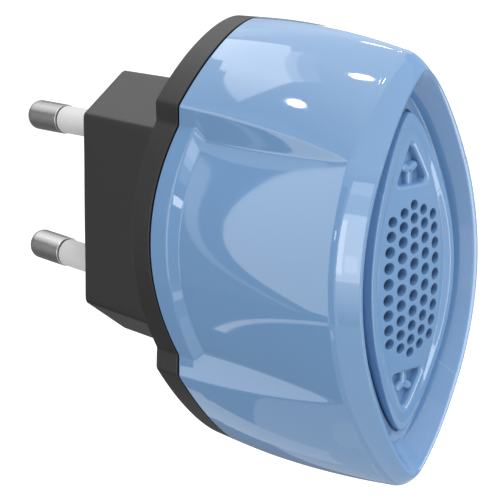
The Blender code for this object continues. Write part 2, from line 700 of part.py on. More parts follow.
def make_grille():
    """The separate grille plate: beaded border, arched face, round holes and two recesses."""
    inner = 1.0 - GRILLE_BEAD / GRILLE.width
    crest = (1.0 + inner) / 2
    back = GRILLE.ring()
    edge = grille_ring(1.0, 0.0)
    rings = [scaled(GRILLE, share, GRILLE.y) for share in reversed(GRILLE_STATIONS)] + [back, edge]
    rings += [grille_ring(crest, GRILLE_BEAD_RISE), grille_ring(inner, 0.0)]
    rings += [grille_ring(inner * share, 0.0) for share in GRILLE_STATIONS]
    grille = place("grille_plate", loft("grille_plate", rings, closed=False), BLUE)
    holes = bmesh.new()
    length = 2 * (GRILLE_PROUD + SEAT_DEPTH + GRILLE_ARCH)
    for x, z, shrink in hole_centres():
        spot = Matrix.Translation((x, GRILLE.y, z)) @ FACING_FRONT
        radius = shrink * HOLE_DIAMETER / 2
        bmesh.ops.create_cone(
            holes, cap_ends=True, segments=HOLE_SIDES, radius1=radius, radius2=radius,
            depth=length, matrix=spot)
    mesh = bpy.data.meshes.new("grille_holes")
    holes.to_mesh(mesh)
    holes.free()
    combine(grille, as_cutter(place("grille_holes", mesh)), "DIFFERENCE")
    for name, sign in (("upper", 1), ("lower", -1)):
        combine(grille, pocket_cutter(f"pocket_{name}", sign), "DIFFERENCE")


def make_transducer():
    """Foam ring, aluminium case, horn cone, piezo disc and base, in line behind the grille."""
    outer = TRANSDUCER_DIAMETER / 2
    inner = outer - TRANSDUCER_WALL
    mouth = outer - TRANSDUCER_LIP
    length = TRANSDUCER_LENGTH
    frame = at_depth(0, TRANSDUCER_Y, 0, FACING_BACK)
    case = [
        (mouth, TRANSDUCER_WALL), (inner, TRANSDUCER_WALL), (inner, length), (outer, length),
        (outer, 0.0), (mouth, 0.0)]
    turned("transducer_case", case, ALUMINIUM, frame)
    base_top = length - TRANSDUCER_BASE_THICKNESS
    base_radius = inner - FIT_GAP
    base = [(0.0, length), (base_radius, length), (base_radius, base_top), (0.0, base_top)]
    turned("transducer_base", base, EPOXY, frame)
    disc_top = base_top - FIT_GAP
    disc_foot = disc_top - PIEZO_THICKNESS
    disc = PIEZO_DIAMETER / 2
    turned(
        "piezo_disc", [(0.0, disc_top), (disc, disc_top), (disc, disc_foot), (0.0, disc_foot)],
        CERAMIC, frame)
    cone_foot = disc_foot - FIT_GAP
    cone_rim = cone_foot - CONE_HEIGHT
    wide, narrow = CONE_DIAMETER / 2, CONE_FOOT_DIAMETER / 2
    cone = [
        (0.0, cone_foot), (narrow, cone_foot), (wide, cone_rim), (wide - CONE_WALL, cone_rim),
        (narrow - CONE_WALL, cone_foot - CONE_WALL), (0.0, cone_foot - CONE_WALL)]
    turned("transducer_cone", cone, ALUMINIUM, frame)
    ring_outer = outer
    ring_inner = outer - GASKET_RING_WIDTH
    ring = [
        (ring_inner, GASKET_THICKNESS), (ring_outer, GASKET_THICKNESS), (ring_outer, 0.0),
        (ring_inner, 0.0)]
    turned("transducer_gasket", ring, FOAM, at_depth(0, GASKET_Y, 0, FACING_BACK))


def board_half_width(z):
    """How wide the board may be at a height, inside the shell and clear of it."""
    section = case_section(share_at(PARTING_Y - BOARD_FRONT_Y)).inset(SHELL_WALL + BOARD_CLEARANCE)
    if abs(z) >= section.waist_z:
        return section.waist_x
    return section.width - (section.width - section.waist_x) * (z / section.waist_z)**2


def make_board():
    """The circuit board: shell-shaped sides, cut corners and a clearance hole for each screw."""
    waist = BOARD_END_Z - BOARD_CORNER
    heights = np.linspace(waist, -waist, 2 * GRIP_POINTS + 1)
    end = board_half_width(BOARD_END_Z) - BOARD_CORNER
    left = [(-end, BOARD_END_Z)] + [(-board_half_width(z), z) for z in heights]
    left.append((-end, -BOARD_END_Z))
    outline = left + [(-x, z) for x, z in reversed(left)]
    rings = [[(x, y, z) for x, z in outline] for y in (BOARD_FRONT_Y, BOARD_BACK_Y)]
    board = place("circuit_board", loft("circuit_board", rings, closed=False), LAMINATE)
    holes = boss_pair(
        BOARD_SCREW_Z, SCREW_DIAMETER / 2 + FIT_GAP, BOARD_FRONT_Y - BOARD_THICKNESS,
        BOARD_BACK_Y + BOARD_THICKNESS, "board_hole")
    for hole in holes:
        combine(board, hole, "DIFFERENCE")


def make_board_parts():
    """The power parts on the board's back, in rows from the top down, and a chip in front."""
    pair = max(CAN_DIAMETER, INDUCTOR_DIAMETER)
    rows = (FILM_CAP_THICKNESS, pair, BRIDGE_LENGTH, FUSE_DIAMETER, BLEED_DIAMETER)
    top = BOARD_SCREW_Z - SCREW_HEAD_DIAMETER / 2
    spacing = (2 * top - sum(rows)) / (len(rows) + 1)
    row_z = []
    for size in rows:
        row_z.append(top - spacing - size / 2)
        top -= spacing + size
    cap_z, pair_z, bridge_z, fuse_z, bleed_z = row_z
    seat = BOARD_SEAT_Y
    block(
        "film_capacitor", (FILM_CAP_WIDTH, FILM_CAP_HEIGHT, FILM_CAP_THICKNESS),
        (0, seat + FILM_CAP_HEIGHT / 2, cap_z), YELLOW, FIT_GAP)
    can = CAN_DIAMETER / 2
    groove = can - FIT_GAP
    collar = CAN_DIAMETER / 4
    can_profile = [
        (0.0, CAN_HEIGHT), (groove, CAN_HEIGHT), (can, CAN_HEIGHT - FIT_GAP), (can, collar + FIT_GAP),
        (groove, collar), (can, collar - FIT_GAP), (can, 0.0), (0.0, 0.0)]
    can_x = -(CAN_DIAMETER + PART_SPACING) / 2
    turned("electrolytic_capacitor", can_profile, SLATE, at_depth(can_x, seat, pair_z, FACING_BACK))
    drum, waist = INDUCTOR_DIAMETER / 2, INDUCTOR_WAIST / 2
    drum_profile = [
        (0.0, INDUCTOR_HEIGHT), (drum, INDUCTOR_HEIGHT), (drum, INDUCTOR_HEIGHT - INDUCTOR_FLANGE),
        (waist, INDUCTOR_HEIGHT - INDUCTOR_FLANGE), (waist, INDUCTOR_FLANGE), (drum, INDUCTOR_FLANGE),
        (drum, 0.0), (0.0, 0.0)]
    drum_x = (INDUCTOR_DIAMETER + PART_SPACING) / 2
    turned("drive_inductor", drum_profile, FERRITE, at_depth(drum_x, seat, pair_z, FACING_BACK))
    block(
        "bridge_rectifier", (BRIDGE_WIDTH, BRIDGE_HEIGHT, BRIDGE_LENGTH),
        (0, seat + BRIDGE_HEIGHT / 2, bridge_z), EPOXY, FIT_GAP)
    for name, diameter, length, z in (
            ("fusible_resistor", FUSE_DIAMETER, FUSE_LENGTH, fuse_z),
            ("bleed_resistor", BLEED_DIAMETER, BLEED_LENGTH, bleed_z)):
        make_resistor(name, diameter / 2, length, (0, seat + diameter / 2, z))
    chip_x = (BOARD_POST_DIAMETER + PART_SPACING + CHIP_WIDTH) / 2
    chip_z = -(TRANSDUCER_DIAMETER + PART_SPACING + CHIP_LENGTH) / 2
    block(
        "driver_chip", (CHIP_WIDTH, CHIP_HEIGHT, CHIP_LENGTH),
        (chip_x, BOARD_FRONT_Y - FIT_GAP - CHIP_HEIGHT / 2, chip_z), EPOXY, FIT_GAP / 2)


def make_resistor(name, radius, length, centre):
    """An axial resistor lying across the board, with its two swollen ends."""
    half, waist = length / 2, radius - FIT_GAP
    knob, neck = half - length / 4, half - length / 4 - FIT_GAP
    profile = [
        (0.0, half), (waist, half), (radius, half - FIT_GAP), (radius, knob), (waist, neck),
        (waist, -neck), (radius, -knob), (radius, FIT_GAP - half), (waist, -half), (0.0, -half)]
    frame = Matrix.Translation(centre) @ Matrix.Rotation(math.radians(90), 4, "Y")
    turned(name, profile, RESISTOR, frame)


def make_lead(name, sign):
    """An insulated wire from a pin's tail, out of the plug's mouth and round to the board."""
    foot, direction = pin_axis(sign)
    tail = PLUG_END_WALL + PIN_HEAD_THICKNESS + PIN_TAIL_LENGTH + 2 * FIT_GAP
    start = foot - direction * tail
    pad_x = board_half_width(start.z) - LEAD_DIAMETER
    mouth_x = PLUG_WIDTH / 2 - PLUG_WALL - LEAD_DIAMETER / 2 - 2 * FIT_GAP
    mouth_y = PLUG_MOUTH_Y
    end = Vector((sign * pad_x, BOARD_SEAT_Y, start.z))
    route = [
        start, start - direction * 2 * LEAD_DIAMETER, Vector((sign * mouth_x, mouth_y, start.z)),
        Vector((sign * pad_x, mouth_y - 3 * LEAD_DIAMETER, start.z)),
        end + Vector((0, 2 * LEAD_DIAMETER, 0)), end]
    curve = bpy.data.curves.new(name, "CURVE")
    curve.dimensions = "3D"
    curve.bevel_depth = LEAD_DIAMETER / 2
    curve.bevel_resolution = 2
    curve.use_fill_caps = True
    points = smooth_route(route)
    spline = curve.splines.new("POLY")
    spline.points.add(len(points) - 1)
    for point, spot in zip(spline.points, points):
        point.co = (*spot, 1.0)
    wire = bpy.data.objects.new(name, curve)
    curve.materials.append(WIRE_RED)
    PIECES.objects.link(wire)


def smooth_route(route):
    """A smooth curve through a route's own points, straight at both of its ends."""
    ends = [2 * route[0] - route[1], *route, 2 * route[-1] - route[-2]]
    points = []
    for index in range(1, len(ends) - 2):
        before, near, far, after = ends[index - 1:index + 3]
        for step in range(ROUTE_STEPS):
            t = step / ROUTE_STEPS
            points.append(0.5 * (
                2 * near + (far - before) * t
                + (2 * before - 5 * near + 4 * far - after) * t**2
                + (3 * near - before - 3 * far + after) * t**3))
    return points + [route[-1]]


def make_screw(name, length, seat, facing):
    """A pan-head screw: its seat is under the head, and its shank runs on from there."""
    head, shank = SCREW_HEAD_DIAMETER / 2, SCREW_DIAMETER / 2
    crown, soft = SCREW_HEAD_HEIGHT, SCREW_HEAD_HEIGHT / 2
    profile = [
        (0.0, crown), (head - soft, crown), (head, soft), (head, 0.0), (shank, 0.0),
        (shank, -length + shank), (0.0, -length)]
    turned(name, profile, STEEL, Matrix.Translation(seat) @ facing)


def make_fasteners():
    """Two screws from the back close the case, and two hold the board on the shell's posts."""
    for side, sign in (("upper", 1), ("lower", -1)):
        make_screw(
            f"case_screw_{side}", CASE_SCREW_LENGTH, (0, SCREW_SEAT_Y, sign * CASE_SCREW_Z), FACING_BACK)
        make_screw(
            f"board_screw_{side}", BOARD_SCREW_LENGTH, (0, BOARD_SEAT_Y, sign * BOARD_SCREW_Z), FACING_BACK)


make_front_shell()
make_back_cover()
make_plug_body()
for side, sign in (("upper", 1), ("lower", -1)):
    make_pin(side, sign)
    make_sleeve(side, sign)
    make_lead(f"lead_{side}", sign)
make_grille()
make_transducer()
make_board()
make_board_parts()
make_fasteners()
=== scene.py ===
# %% [markdown]
# # A plug-in pest repeller, dressed for its picture
# The object is a small ultrasonic repeller that plugs straight into a wall socket. A glossy blue
# shell with a pointed-oval front carries a separate grille, a black cover closes the back, and a
# flat two-pin plug grows out of the cover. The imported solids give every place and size, and this
# lesson lays finer surfaces over the ones that show. All lengths are in metres, the grille looks
# along -Y, the pins point along +Y, and Z is up.

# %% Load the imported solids
import json

import bmesh
import bpy
import numpy as np
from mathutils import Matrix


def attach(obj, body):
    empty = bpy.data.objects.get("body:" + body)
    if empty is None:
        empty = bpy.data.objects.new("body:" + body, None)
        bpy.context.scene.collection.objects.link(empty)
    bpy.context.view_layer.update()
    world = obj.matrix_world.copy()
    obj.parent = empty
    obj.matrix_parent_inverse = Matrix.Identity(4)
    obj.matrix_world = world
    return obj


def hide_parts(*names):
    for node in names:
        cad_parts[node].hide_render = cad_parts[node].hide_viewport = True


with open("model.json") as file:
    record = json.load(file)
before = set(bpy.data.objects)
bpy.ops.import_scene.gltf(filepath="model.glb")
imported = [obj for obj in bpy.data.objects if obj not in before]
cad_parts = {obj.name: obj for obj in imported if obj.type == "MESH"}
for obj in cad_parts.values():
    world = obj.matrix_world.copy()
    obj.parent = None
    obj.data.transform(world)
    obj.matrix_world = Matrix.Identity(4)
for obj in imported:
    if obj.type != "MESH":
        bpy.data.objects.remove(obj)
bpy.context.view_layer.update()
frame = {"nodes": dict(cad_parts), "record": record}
nodes = frame["nodes"]
MM = 0.001
print("solids loaded:", len(nodes))

# %% [markdown]
# ## The camera
# The viewpoint is on the left of the grille and a little above it. A long lens keeps the ridges
# nearly parallel. Three directions say all about a camera's turn: its right, its up and its back,
# so they are worked out from an azimuth, an elevation and a small roll, and set as a matrix.

# %% Camera
VIEW_TURN, VIEW_RISE, VIEW_ROLL = np.radians((-43.4755, 14.2254, 0.5054))
VIEW_DISTANCE = 280.72 * MM
VIEW_SHIFT_RIGHT, VIEW_SHIFT_UP = 16.726 * MM, -6.524 * MM
LENS, SENSOR, NEAREST = 152.336, 36.0, 10 * MM


def direction_at(turn, rise):
    """The direction at a turn t from -Y towards +X and a rise r above the horizon:
    (sin t cos r, -cos t cos r, sin r)."""
    return np.stack((np.sin(turn) * np.cos(rise), -np.cos(turn) * np.cos(rise), np.sin(rise)), -1)


def view_axes(turn, rise, roll):
    """The camera's right, up and back: back points from the object to the camera, right is level,
    up is their cross product, and the roll then turns right and up about back."""
    back = direction_at(turn, rise)
    level = np.array((np.cos(turn), np.sin(turn), 0.0))
    steep = np.cross(back, level)
    right = np.cos(roll) * level + np.sin(roll) * steep
    return right, np.cross(back, right), back


def new_object(name, data):
    """An object in the scene for a mesh, a camera or a lamp."""
    item = bpy.data.objects.new(name, data)
    bpy.context.scene.collection.objects.link(item)
    return item


def put_facing(name, data, axes, spot):
    """Put a camera or a lamp at a spot. Its matrix has right, up, back and the spot as columns."""
    item = new_object(name, data)
    place = np.eye(4)
    place[:3] = np.stack((*axes, spot), -1)
    item.matrix_world = place.T.tolist()
    return item


view = view_axes(VIEW_TURN, VIEW_RISE, VIEW_ROLL)
view_spot = VIEW_SHIFT_RIGHT * view[0] + VIEW_SHIFT_UP * view[1] + VIEW_DISTANCE * view[2]
camera = put_facing("camera", bpy.data.cameras.new("camera"), view, view_spot)
camera.data.lens, camera.data.sensor_width = LENS, SENSOR
camera.data.sensor_fit = "HORIZONTAL"
camera.data.clip_start = NEAREST
bpy.context.scene.camera = camera
print("camera at", np.round(view_spot, 4))

# %% [markdown]
# ## Finishes
# Moulded plastic is never one flat colour. Each finish starts from a Principled shader and adds
# three noises on Object coordinates, stretched so that one unit is a millimetre: a broad one that
# shifts the colour a little, a middle one that varies the gloss, and a fine one that lifts the
# surface as a mould's texture does. A polished mould has none, so the blue finish does without the
# fine one. A number that is the same everywhere is set on the socket.

# %% A helper for finishes
TINT_GRAIN, GLOSS_GRAIN, NOISE_DETAIL = 0.12, 0.9, 3.0
GRAIN_DEPTH, COAT_ROUGHNESS = 0.02 * MM, 0.03


def with_values(node, values):
    """The same node with its sockets set, by name, to values that hold everywhere."""
    for socket, value in values.items():
        node.inputs[socket].default_value = value
    return node


def finish(
        name, colour, gloss, drift, grain=6.0, lift=0.0, metal=0.0, coat=0.0, stretch=(1, 1, 1)):
    """A Principled material. gloss is the lowest and highest roughness, drift the share by which
    the colour strays, grain the fine noise's detail per millimetre and lift its bump. The stretch
    draws the noises out along an axis, as brushing does."""
    material = bpy.data.materials.new(name)
    material.use_nodes = True
    tree = material.node_tree
    shader = with_values(tree.nodes["Principled BSDF"], {
        "Metallic": metal, "Coat Weight": coat, "Coat Roughness": COAT_ROUGHNESS})
    place = tree.nodes.new("ShaderNodeTexCoord")
    scale = tree.nodes.new("ShaderNodeMapping")
    scale.inputs["Scale"].default_value = [1 / MM * size for size in stretch]
    tree.links.new(place.outputs["Object"], scale.inputs["Vector"])

    def noise(grains):
        """A noise with so many grains to a millimetre."""
        node = tree.nodes.new("ShaderNodeTexNoise")
        with_values(node, {"Scale": grains, "Detail": NOISE_DETAIL})
        tree.links.new(scale.outputs["Vector"], node.inputs["Vector"])
        return node.outputs["Fac"]

    tint = tree.nodes.new("ShaderNodeMix")
    tint.data_type = "RGBA"
    for socket, share in (("A", 1 - drift), ("B", 1 + drift)):
        colours = [entry for entry in tint.inputs if entry.name == socket and entry.type == "RGBA"]
        colours[0].default_value = [min(1.0, channel * share) for channel in colour] + [1.0]
    tree.links.new(noise(TINT_GRAIN), tint.inputs["Factor"])
    result = [entry for entry in tint.outputs if entry.type == "RGBA"][0]
    tree.links.new(result, shader.inputs["Base Color"])
    rough = tree.nodes.new("ShaderNodeMapRange")
    with_values(rough, {"To Min": gloss[0], "To Max": gloss[1]})
    tree.links.new(noise(GLOSS_GRAIN), rough.inputs["Value"])
    tree.links.new(rough.outputs["Result"], shader.inputs["Roughness"])
    if lift:
        bump = tree.nodes.new("ShaderNodeBump")
        with_values(bump, {"Strength": lift, "Distance": GRAIN_DEPTH})
        tree.links.new(noise(grain), bump.inputs["Height"])
        tree.links.new(bump.outputs["Normal"], shader.inputs["Normal"])
    return material


BLUE_GLOSS = finish("blue_gloss", (0.152, 0.298, 0.525), (0.03, 0.05), 0.02, coat=0.6)
BLACK_SATIN = finish("black_satin", (0.011, 0.011, 0.0112), (0.32, 0.4), 0.1, 9.0, 0.25)
PIN_NICKEL = finish(
    "pin_nickel", (0.43, 0.43, 0.43), (0.2, 0.3), 0.05, 14.0, 0.3, 1.0, stretch=(1, 0.06, 1))
SLEEVE_WHITE = finish("sleeve_white", (0.6, 0.6, 0.6), (0.4, 0.5), 0.03, 7.0, 0.12)
SCREW_STEEL = finish("screw_steel", (0.5, 0.5, 0.51), (0.25, 0.4), 0.08, 5.0, 0.2, 1.0)
print("finishes:", len(bpy.data.materials))

# %% [markdown]
# ## From a grid of points to a mesh
# Every new piece here is a grid: rows of points, each row a closed ring. A quad joins each pair
# of neighbours in a ring to the same pair in the next ring. Numpy writes all the quads at once
# from a table of point numbers. A ring that shrinks to one point closes an end, so doubles are
# merged afterwards and the faces turned outwards.

# %% Helpers for grids
WELD = 0.0005 * MM


def full_turn(sides):
    """Even angles once round a circle."""
    return np.linspace(0.0, 2 * np.pi, sides + 1)[:-1]


def ring_quads(rows, points, close_rows=False, close_ring=True):
    """Quads of a grid: each point with its neighbour in the ring and the two behind them."""
    index = np.arange(rows * points).reshape(rows, points)
    near, far = (index, np.roll(index, -1, 0)) if close_rows else (index[:-1], index[1:])
    quads = np.stack((near, np.roll(near, -1, 1), np.roll(far, -1, 1), far), -1)
    return quads.reshape(-1, 4) if close_ring else quads[:, :-1].reshape(-1, 4)


def grid_mesh(name, points, quads):
    """Write points and quads to a mesh, weld its doubles and turn its faces outwards."""
    mesh = bpy.data.meshes.new(name)
    mesh.vertices.add(len(points))
    mesh.vertices.foreach_set("co", np.ascontiguousarray(points, dtype=np.float32).ravel())
    mesh.loops.add(quads.size)
    mesh.loops.foreach_set("vertex_index", quads.astype(np.int32).ravel())
    mesh.polygons.add(len(quads))
    mesh.polygons.foreach_set("loop_start", np.arange(0, quads.size, 4, dtype=np.int32))
    mesh.update(calc_edges=True)
    shape = bmesh.new()
    shape.from_mesh(mesh)
    bmesh.ops.remove_doubles(shape, verts=shape.verts, dist=WELD)
    bmesh.ops.dissolve_degenerate(shape, edges=shape.edges, dist=WELD)
    bmesh.ops.recalc_face_normals(shape, faces=shape.faces)
    shape.to_mesh(mesh)
    shape.free()
    mesh.shade_smooth()
    return mesh


def put_piece(name, grid, material, slot, *replaced, close_rows=False):
    """Make a grid of rings a piece that rides on the body and stands for its nodes."""
    quads = ring_quads(*grid.shape[:2], close_rows=close_rows)
    mesh = grid_mesh(name, grid.reshape(-1, 3), quads)
    mesh.materials.append(material)
    piece = new_object(name, mesh)
    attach(piece, "root")
    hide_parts(*replaced)
    print(name, "has", len(mesh.polygons), "faces")
    return piece


print("a 3 by 4 grid has", len(ring_quads(3, 4)), "quads")

# %% Helpers for cutting and softening
LEG_SHARE, HOLD_REACH = 0.3, 1.5


def carve(piece, grids, operation="DIFFERENCE", crease=15):
    """Cut one closed grid or many of one size out of a piece, or join them on. The Boolean's result
    becomes the piece's own mesh, and edges that turn by more than the crease, in degrees, stay
    sharp."""
    quads = ring_quads(*grids.shape[-3:-1])
    starts = np.arange(0, grids.size // 3, grids.shape[-3] * grids.shape[-2])[:, None, None]
    mesh = grid_mesh("tool", grids.reshape(-1, 3), (starts + quads).reshape(-1, 4))
    tool = new_object("tool", mesh)
    cut = piece.modifiers.new("cut", "BOOLEAN")
    cut.operation, cut.solver, cut.object = operation, "EXACT", tool
    shown = piece.evaluated_get(bpy.context.evaluated_depsgraph_get())
    plain, piece.data = piece.data, bpy.data.meshes.new_from_object(shown)
    piece.modifiers.clear()
    bpy.data.objects.remove(tool)
    bpy.data.meshes.remove(plain)
    piece.data.name = piece.name
    piece.data.shade_smooth()
    piece.data.set_sharp_from_angle(angle=np.radians(crease))
    print(piece.name, "after", operation.lower(), "has", len(piece.data.polygons), "faces")


def round_rows(rows, reach, steps=5):
    """Soften the marked rows of a grid. A corner row is replaced by a quadratic arc that leaves
    its two legs at the same distance, the reach, from the corner, or a share of the shorter leg
    where that is less. A row beside each end of the arc holds the legs flat. A reach of zero
    leaves the row alone."""
    turn = np.linspace(0.0, 1.0, steps + 1)[:, None, None]
    soft = []
    for index, (row, cut) in enumerate(zip(rows, reach)):
        if cut == 0.0:
            soft.append(row[None])
            continue
        legs = []
        for other in (rows[index - 1], rows[(index + 1) % len(rows)]):
            length = np.linalg.norm(other - row, axis=1, keepdims=True)
            legs.append(((other - row) / np.maximum(length, WELD), length))
        cuts = np.minimum(cut, LEG_SHARE * np.minimum(legs[0][1], legs[1][1]))
        ends = [row + direction * cuts for direction, _ in legs]
        holds = [row + direction * cuts * HOLD_REACH for direction, _ in legs]
        arc = (1 - turn)**2 * ends[0] + 2 * turn * (1 - turn) * row + turn**2 * ends[1]
        soft += [holds[0][None], arc, holds[1][None]]
    return np.concatenate(soft)


print("a softened row becomes", len(round_rows(np.eye(3)[:, None], (0.0, WELD, 0.0))) - 2, "rows")

# %% [markdown]
# ## The case's outline
# Seen from the front the case is a pointed oval with a flat shoulder cut at each corner. One
# outline per depth says it all, so an outline is a small set of sizes, and the grid of the shell
# is the stack of its outlines. Working with sizes keeps the shoulders' edges crisp from the
# parting line to the front, which a subdivided block would lose.

# %% Sizes of the case
FIT_GAP = 0.3 * MM
CASE_WIDTH, CASE_HEIGHT = 25.6 * MM, 54.4 * MM
SHOULDER_X, SHOULDER_TOP, WAIST_X, SHOULDER_FOOT = 9.94 * MM, 17.0 * MM, 9.42 * MM, 14.5 * MM
PARTING_BOW, COVER_BOW = 5.2 * MM, 5.0 * MM
PARTING_POWER, COVER_POWER = 2.0, 3.0
COVER_BACK_Y, PARTING_Y, RIDGE_Y, FRONT_Y = -16.5 * MM, -19.9 * MM, -49.3 * MM, -53.0 * MM
SHELL_WALL = 1.8 * MM
TIP_ROUND = 1.0 * MM
RIDGE_HALF_WIDTH, RIDGE_HALF_HEIGHT = 11.5 * MM, 26.2 * MM
RIM_PULL, OVAL_PULL, SHOULDER_SHARE, WAIST_SHARE = 0.46, 0.56, 0.555, 0.545
SHOULDER_SOFT, SOFT_SHARE = 0.25 * MM, 0.35
FIELDS = (
    "y", "bow", "power", "width", "shoulder_x", "shoulder_z", "waist_x", "waist_z", "top", "lean",
    "pull")


def section(*sizes):
    """The sizes of one outline, by name."""
    return dict(zip(FIELDS, sizes))


def pointed_oval(y, width, height):
    """Two equal arcs that meet at top and bottom. With half width w and half height h the arc's
    radius is (h^2 + w^2) / 2w, and its reach at height z is w - radius + sqrt(radius^2 - z^2)."""
    radius = (height**2 + width**2) / (2 * width)
    shoulder, waist = SHOULDER_SHARE * height, WAIST_SHARE * height
    reach = width - radius + np.sqrt(radius**2 - np.array((shoulder, waist))**2)
    return section(
        y, 0.0, PARTING_POWER, width, reach[0], shoulder, reach[1], waist, height,
        (radius - width) / height, OVAL_PULL)


def inset(outline, wall):
    """The same outline drawn in by a wall's thickness."""
    drawn = {field: outline[field] - wall for field in ("width", "shoulder_x", "waist_x", "top")}
    return {**outline, **drawn}


RIM = section(
    PARTING_Y, PARTING_BOW, PARTING_POWER, CASE_WIDTH / 2, SHOULDER_X, SHOULDER_TOP, WAIST_X,
    SHOULDER_FOOT, CASE_HEIGHT / 2, 0.0, RIM_PULL)
RIDGE = pointed_oval(RIDGE_Y, RIDGE_HALF_WIDTH, RIDGE_HALF_HEIGHT)
print("ridge reaches", np.round(RIDGE["shoulder_x"] / MM, 2), "mm at its shoulder")

# %% Outlines as rings of points
CAP_STEPS, ARC_STEPS, FLAT_STEPS, GRIP_STEPS = 44, 6, 4, 36
CAP_CROWDING = 1.35


def bowed(y, bow, power, z):
    """The depth of a wall that leans forward by its bow at the case's tips, as |z| to a power."""
    return y - bow * (np.abs(z) / (CASE_HEIGHT / 2))**power


def quadratic(start, pull, end, steps):
    """A quadratic curve: (1-t)^2 start + 2t(1-t) pull + t^2 end, for t from 0 to 1."""
    t = np.linspace(0.0, 1.0, steps + 1)[:, None]
    return (1 - t)**2 * start[:, None] + 2 * t * (1 - t) * pull[:, None] + t**2 * end[:, None]


def outlines(sections):
    """Closed rings for a list of sections, as an array of rows, points and axes.

    A quarter runs from the tip to mid height. The cap is a quadratic curve from the tip to the
    shoulder; slope x (sqrt(x^2 + r^2) - x) is taken off its height to round the tip. The flat
    shoulder follows, with an arc at each end, and then the grip, width - drop x (z / waist)^2.
    The other quarters are mirror images."""
    y, bow, power, width, shoulder_x, shoulder_z, waist_x, waist_z, top, lean, pull = (
        np.array([sizes[field] for sizes in sections])[:, None] for field in FIELDS)
    tip = top + lean * TIP_ROUND
    pull_x = pull * shoulder_x
    pull_z = tip - lean * pull_x

    def cap(run):
        x = 2 * run * (1 - run) * pull_x + run**2 * shoulder_x
        z = (1 - run)**2 * tip + 2 * run * (1 - run) * pull_z + run**2 * shoulder_z
        return np.stack((x, z - lean * (np.sqrt(x**2 + TIP_ROUND**2) - x)), -1)

    shoulder = cap(np.ones_like(top))[:, 0]
    waist = np.concatenate((waist_x, waist_z), 1)
    flat = np.linalg.norm(waist - shoulder, axis=1, keepdims=True)
    along = (waist - shoulder) / flat
    cut = np.minimum(SHOULDER_SOFT, SOFT_SHARE * flat)
    speed = 2 * np.hypot(shoulder_x - pull_x, shoulder_z - pull_z)
    run = (1 - cut / speed) * np.linspace(0.0, 1.0, CAP_STEPS + 1)**CAP_CROWDING
    cap_points = cap(run)
    slope = 2 * (width - waist_x) / waist_z
    grip_z = (waist_z - cut / np.hypot(1.0, slope)) * np.linspace(1.0, 0.0, GRIP_STEPS + 1)
    grip_x = width - (width - waist_x) * (grip_z / waist_z)**2
    grip = np.stack((grip_x, grip_z), -1)
    flat_start, flat_end = shoulder + along * cut, waist - along * cut
    flat_points = quadratic(flat_start, (flat_start + flat_end) / 2, flat_end, FLAT_STEPS)
    shoulder_arc = quadratic(cap_points[:, -1], shoulder, flat_start, ARC_STEPS)
    waist_arc = quadratic(flat_end, waist, grip[:, 0], ARC_STEPS)
    quarter = np.concatenate(
        (cap_points, shoulder_arc[:, 1:-1], flat_points, waist_arc[:, 1:-1], grip), 1)
    side = np.concatenate((quarter, quarter[:, -2::-1] * (1, -1)), 1)
    ring = np.concatenate((side * (-1, 1), side[:, -2:0:-1]), 1)
    return np.stack((ring[..., 0], bowed(y, bow, power, ring[..., 1]), ring[..., 1]), -1)


print("a ring has", outlines([RIM]).shape[1], "points")

# %% [markdown]
# ## The blue shell
# The shell runs forward from the parting line: a narrow rim band, a bevel that sets the grip
# panel in, the long flank, a ridge, a band that rounds over to the front, and a lip and slope
# down to a groove and the grille's seat. Each of these is one outline or a blend of two. The edges
# between them are softened by a few tenths of a millimetre, because a real moulding has no sharp
# edge and the thin bright lines on gloss plastic come from exactly those small rounds. A row beside
# each round keeps its smooth shading off the flank.

# %% The shell's outlines
RIM_BAND, GRIP_BEVEL = 3.3 * MM, 1.7 * MM
GRIP_DEPTH, GRIP_SET_IN, GRIP_TUCK = 0.58 * MM, 1.1 * MM, 0.25 * MM
GRIP_CROWN, TOP_CROWN, SHOULDER_CROWN, GRIP_DIP = 0.4 * MM, 0.65 * MM, 0.55 * MM, 0.5 * MM
BAND_DEPTH, BAND_WIDTH, BAND_DROP = 3.7 * MM, 1.5 * MM, 1.95 * MM
SIDE_POWER, TIP_POWER = 1.25, 2.0
LIP_WIDTH, LIP_DROP = 0.6 * MM, 0.2 * MM
SLOPE_WIDTH, SLOPE_LENGTH, SLOPE_DEPTH = 1.3 * MM, 2.75 * MM, 2.3 * MM
GROOVE_WIDTH, GROOVE_LENGTH, GROOVE_BOW = 0.75 * MM, 1.55 * MM, -1.2 * MM
SEAT_DEPTH, SEAT_LEDGE, SEAT_THICKNESS = 0.8 * MM, 1.75 * MM, 1.4 * MM
PORT_HEIGHT = 23.0 * MM
GRIP_BACK = {
    **RIM, "width": RIM["width"] - GRIP_DEPTH, "waist_x": WAIST_X - GRIP_TUCK,
    "waist_z": SHOULDER_FOOT - GRIP_SET_IN}


def toward_ridge(back, share):
    """An outline part of the way to the ridge: every size is a straight blend, the width, top and
    shoulders swell and the waist dips by a crown times 4 s (1 - s), and the lean grows by s^2."""
    mixed = {field: back[field] + (RIDGE[field] - back[field]) * share for field in FIELDS}
    swell = 4 * share * (1 - share)
    mixed["width"] += GRIP_CROWN * swell
    mixed["top"] += TOP_CROWN * swell
    mixed["shoulder_z"] += SHOULDER_CROWN * swell
    mixed["waist_z"] -= GRIP_DIP * swell
    mixed["lean"] = RIDGE["lean"] * share**2
    return mixed


def flank(share):
    """The outside of the shell, past the bevel that sets the grip panel in."""
    return toward_ridge(GRIP_BACK, share)


def rim_band(depth):
    """The rim, whose grip keeps the parting line's own width."""
    kept = {field: RIM[field] for field in ("width", "waist_x", "waist_z")}
    return {**toward_ridge(RIM, depth / (PARTING_Y - RIDGE_Y)), **kept}


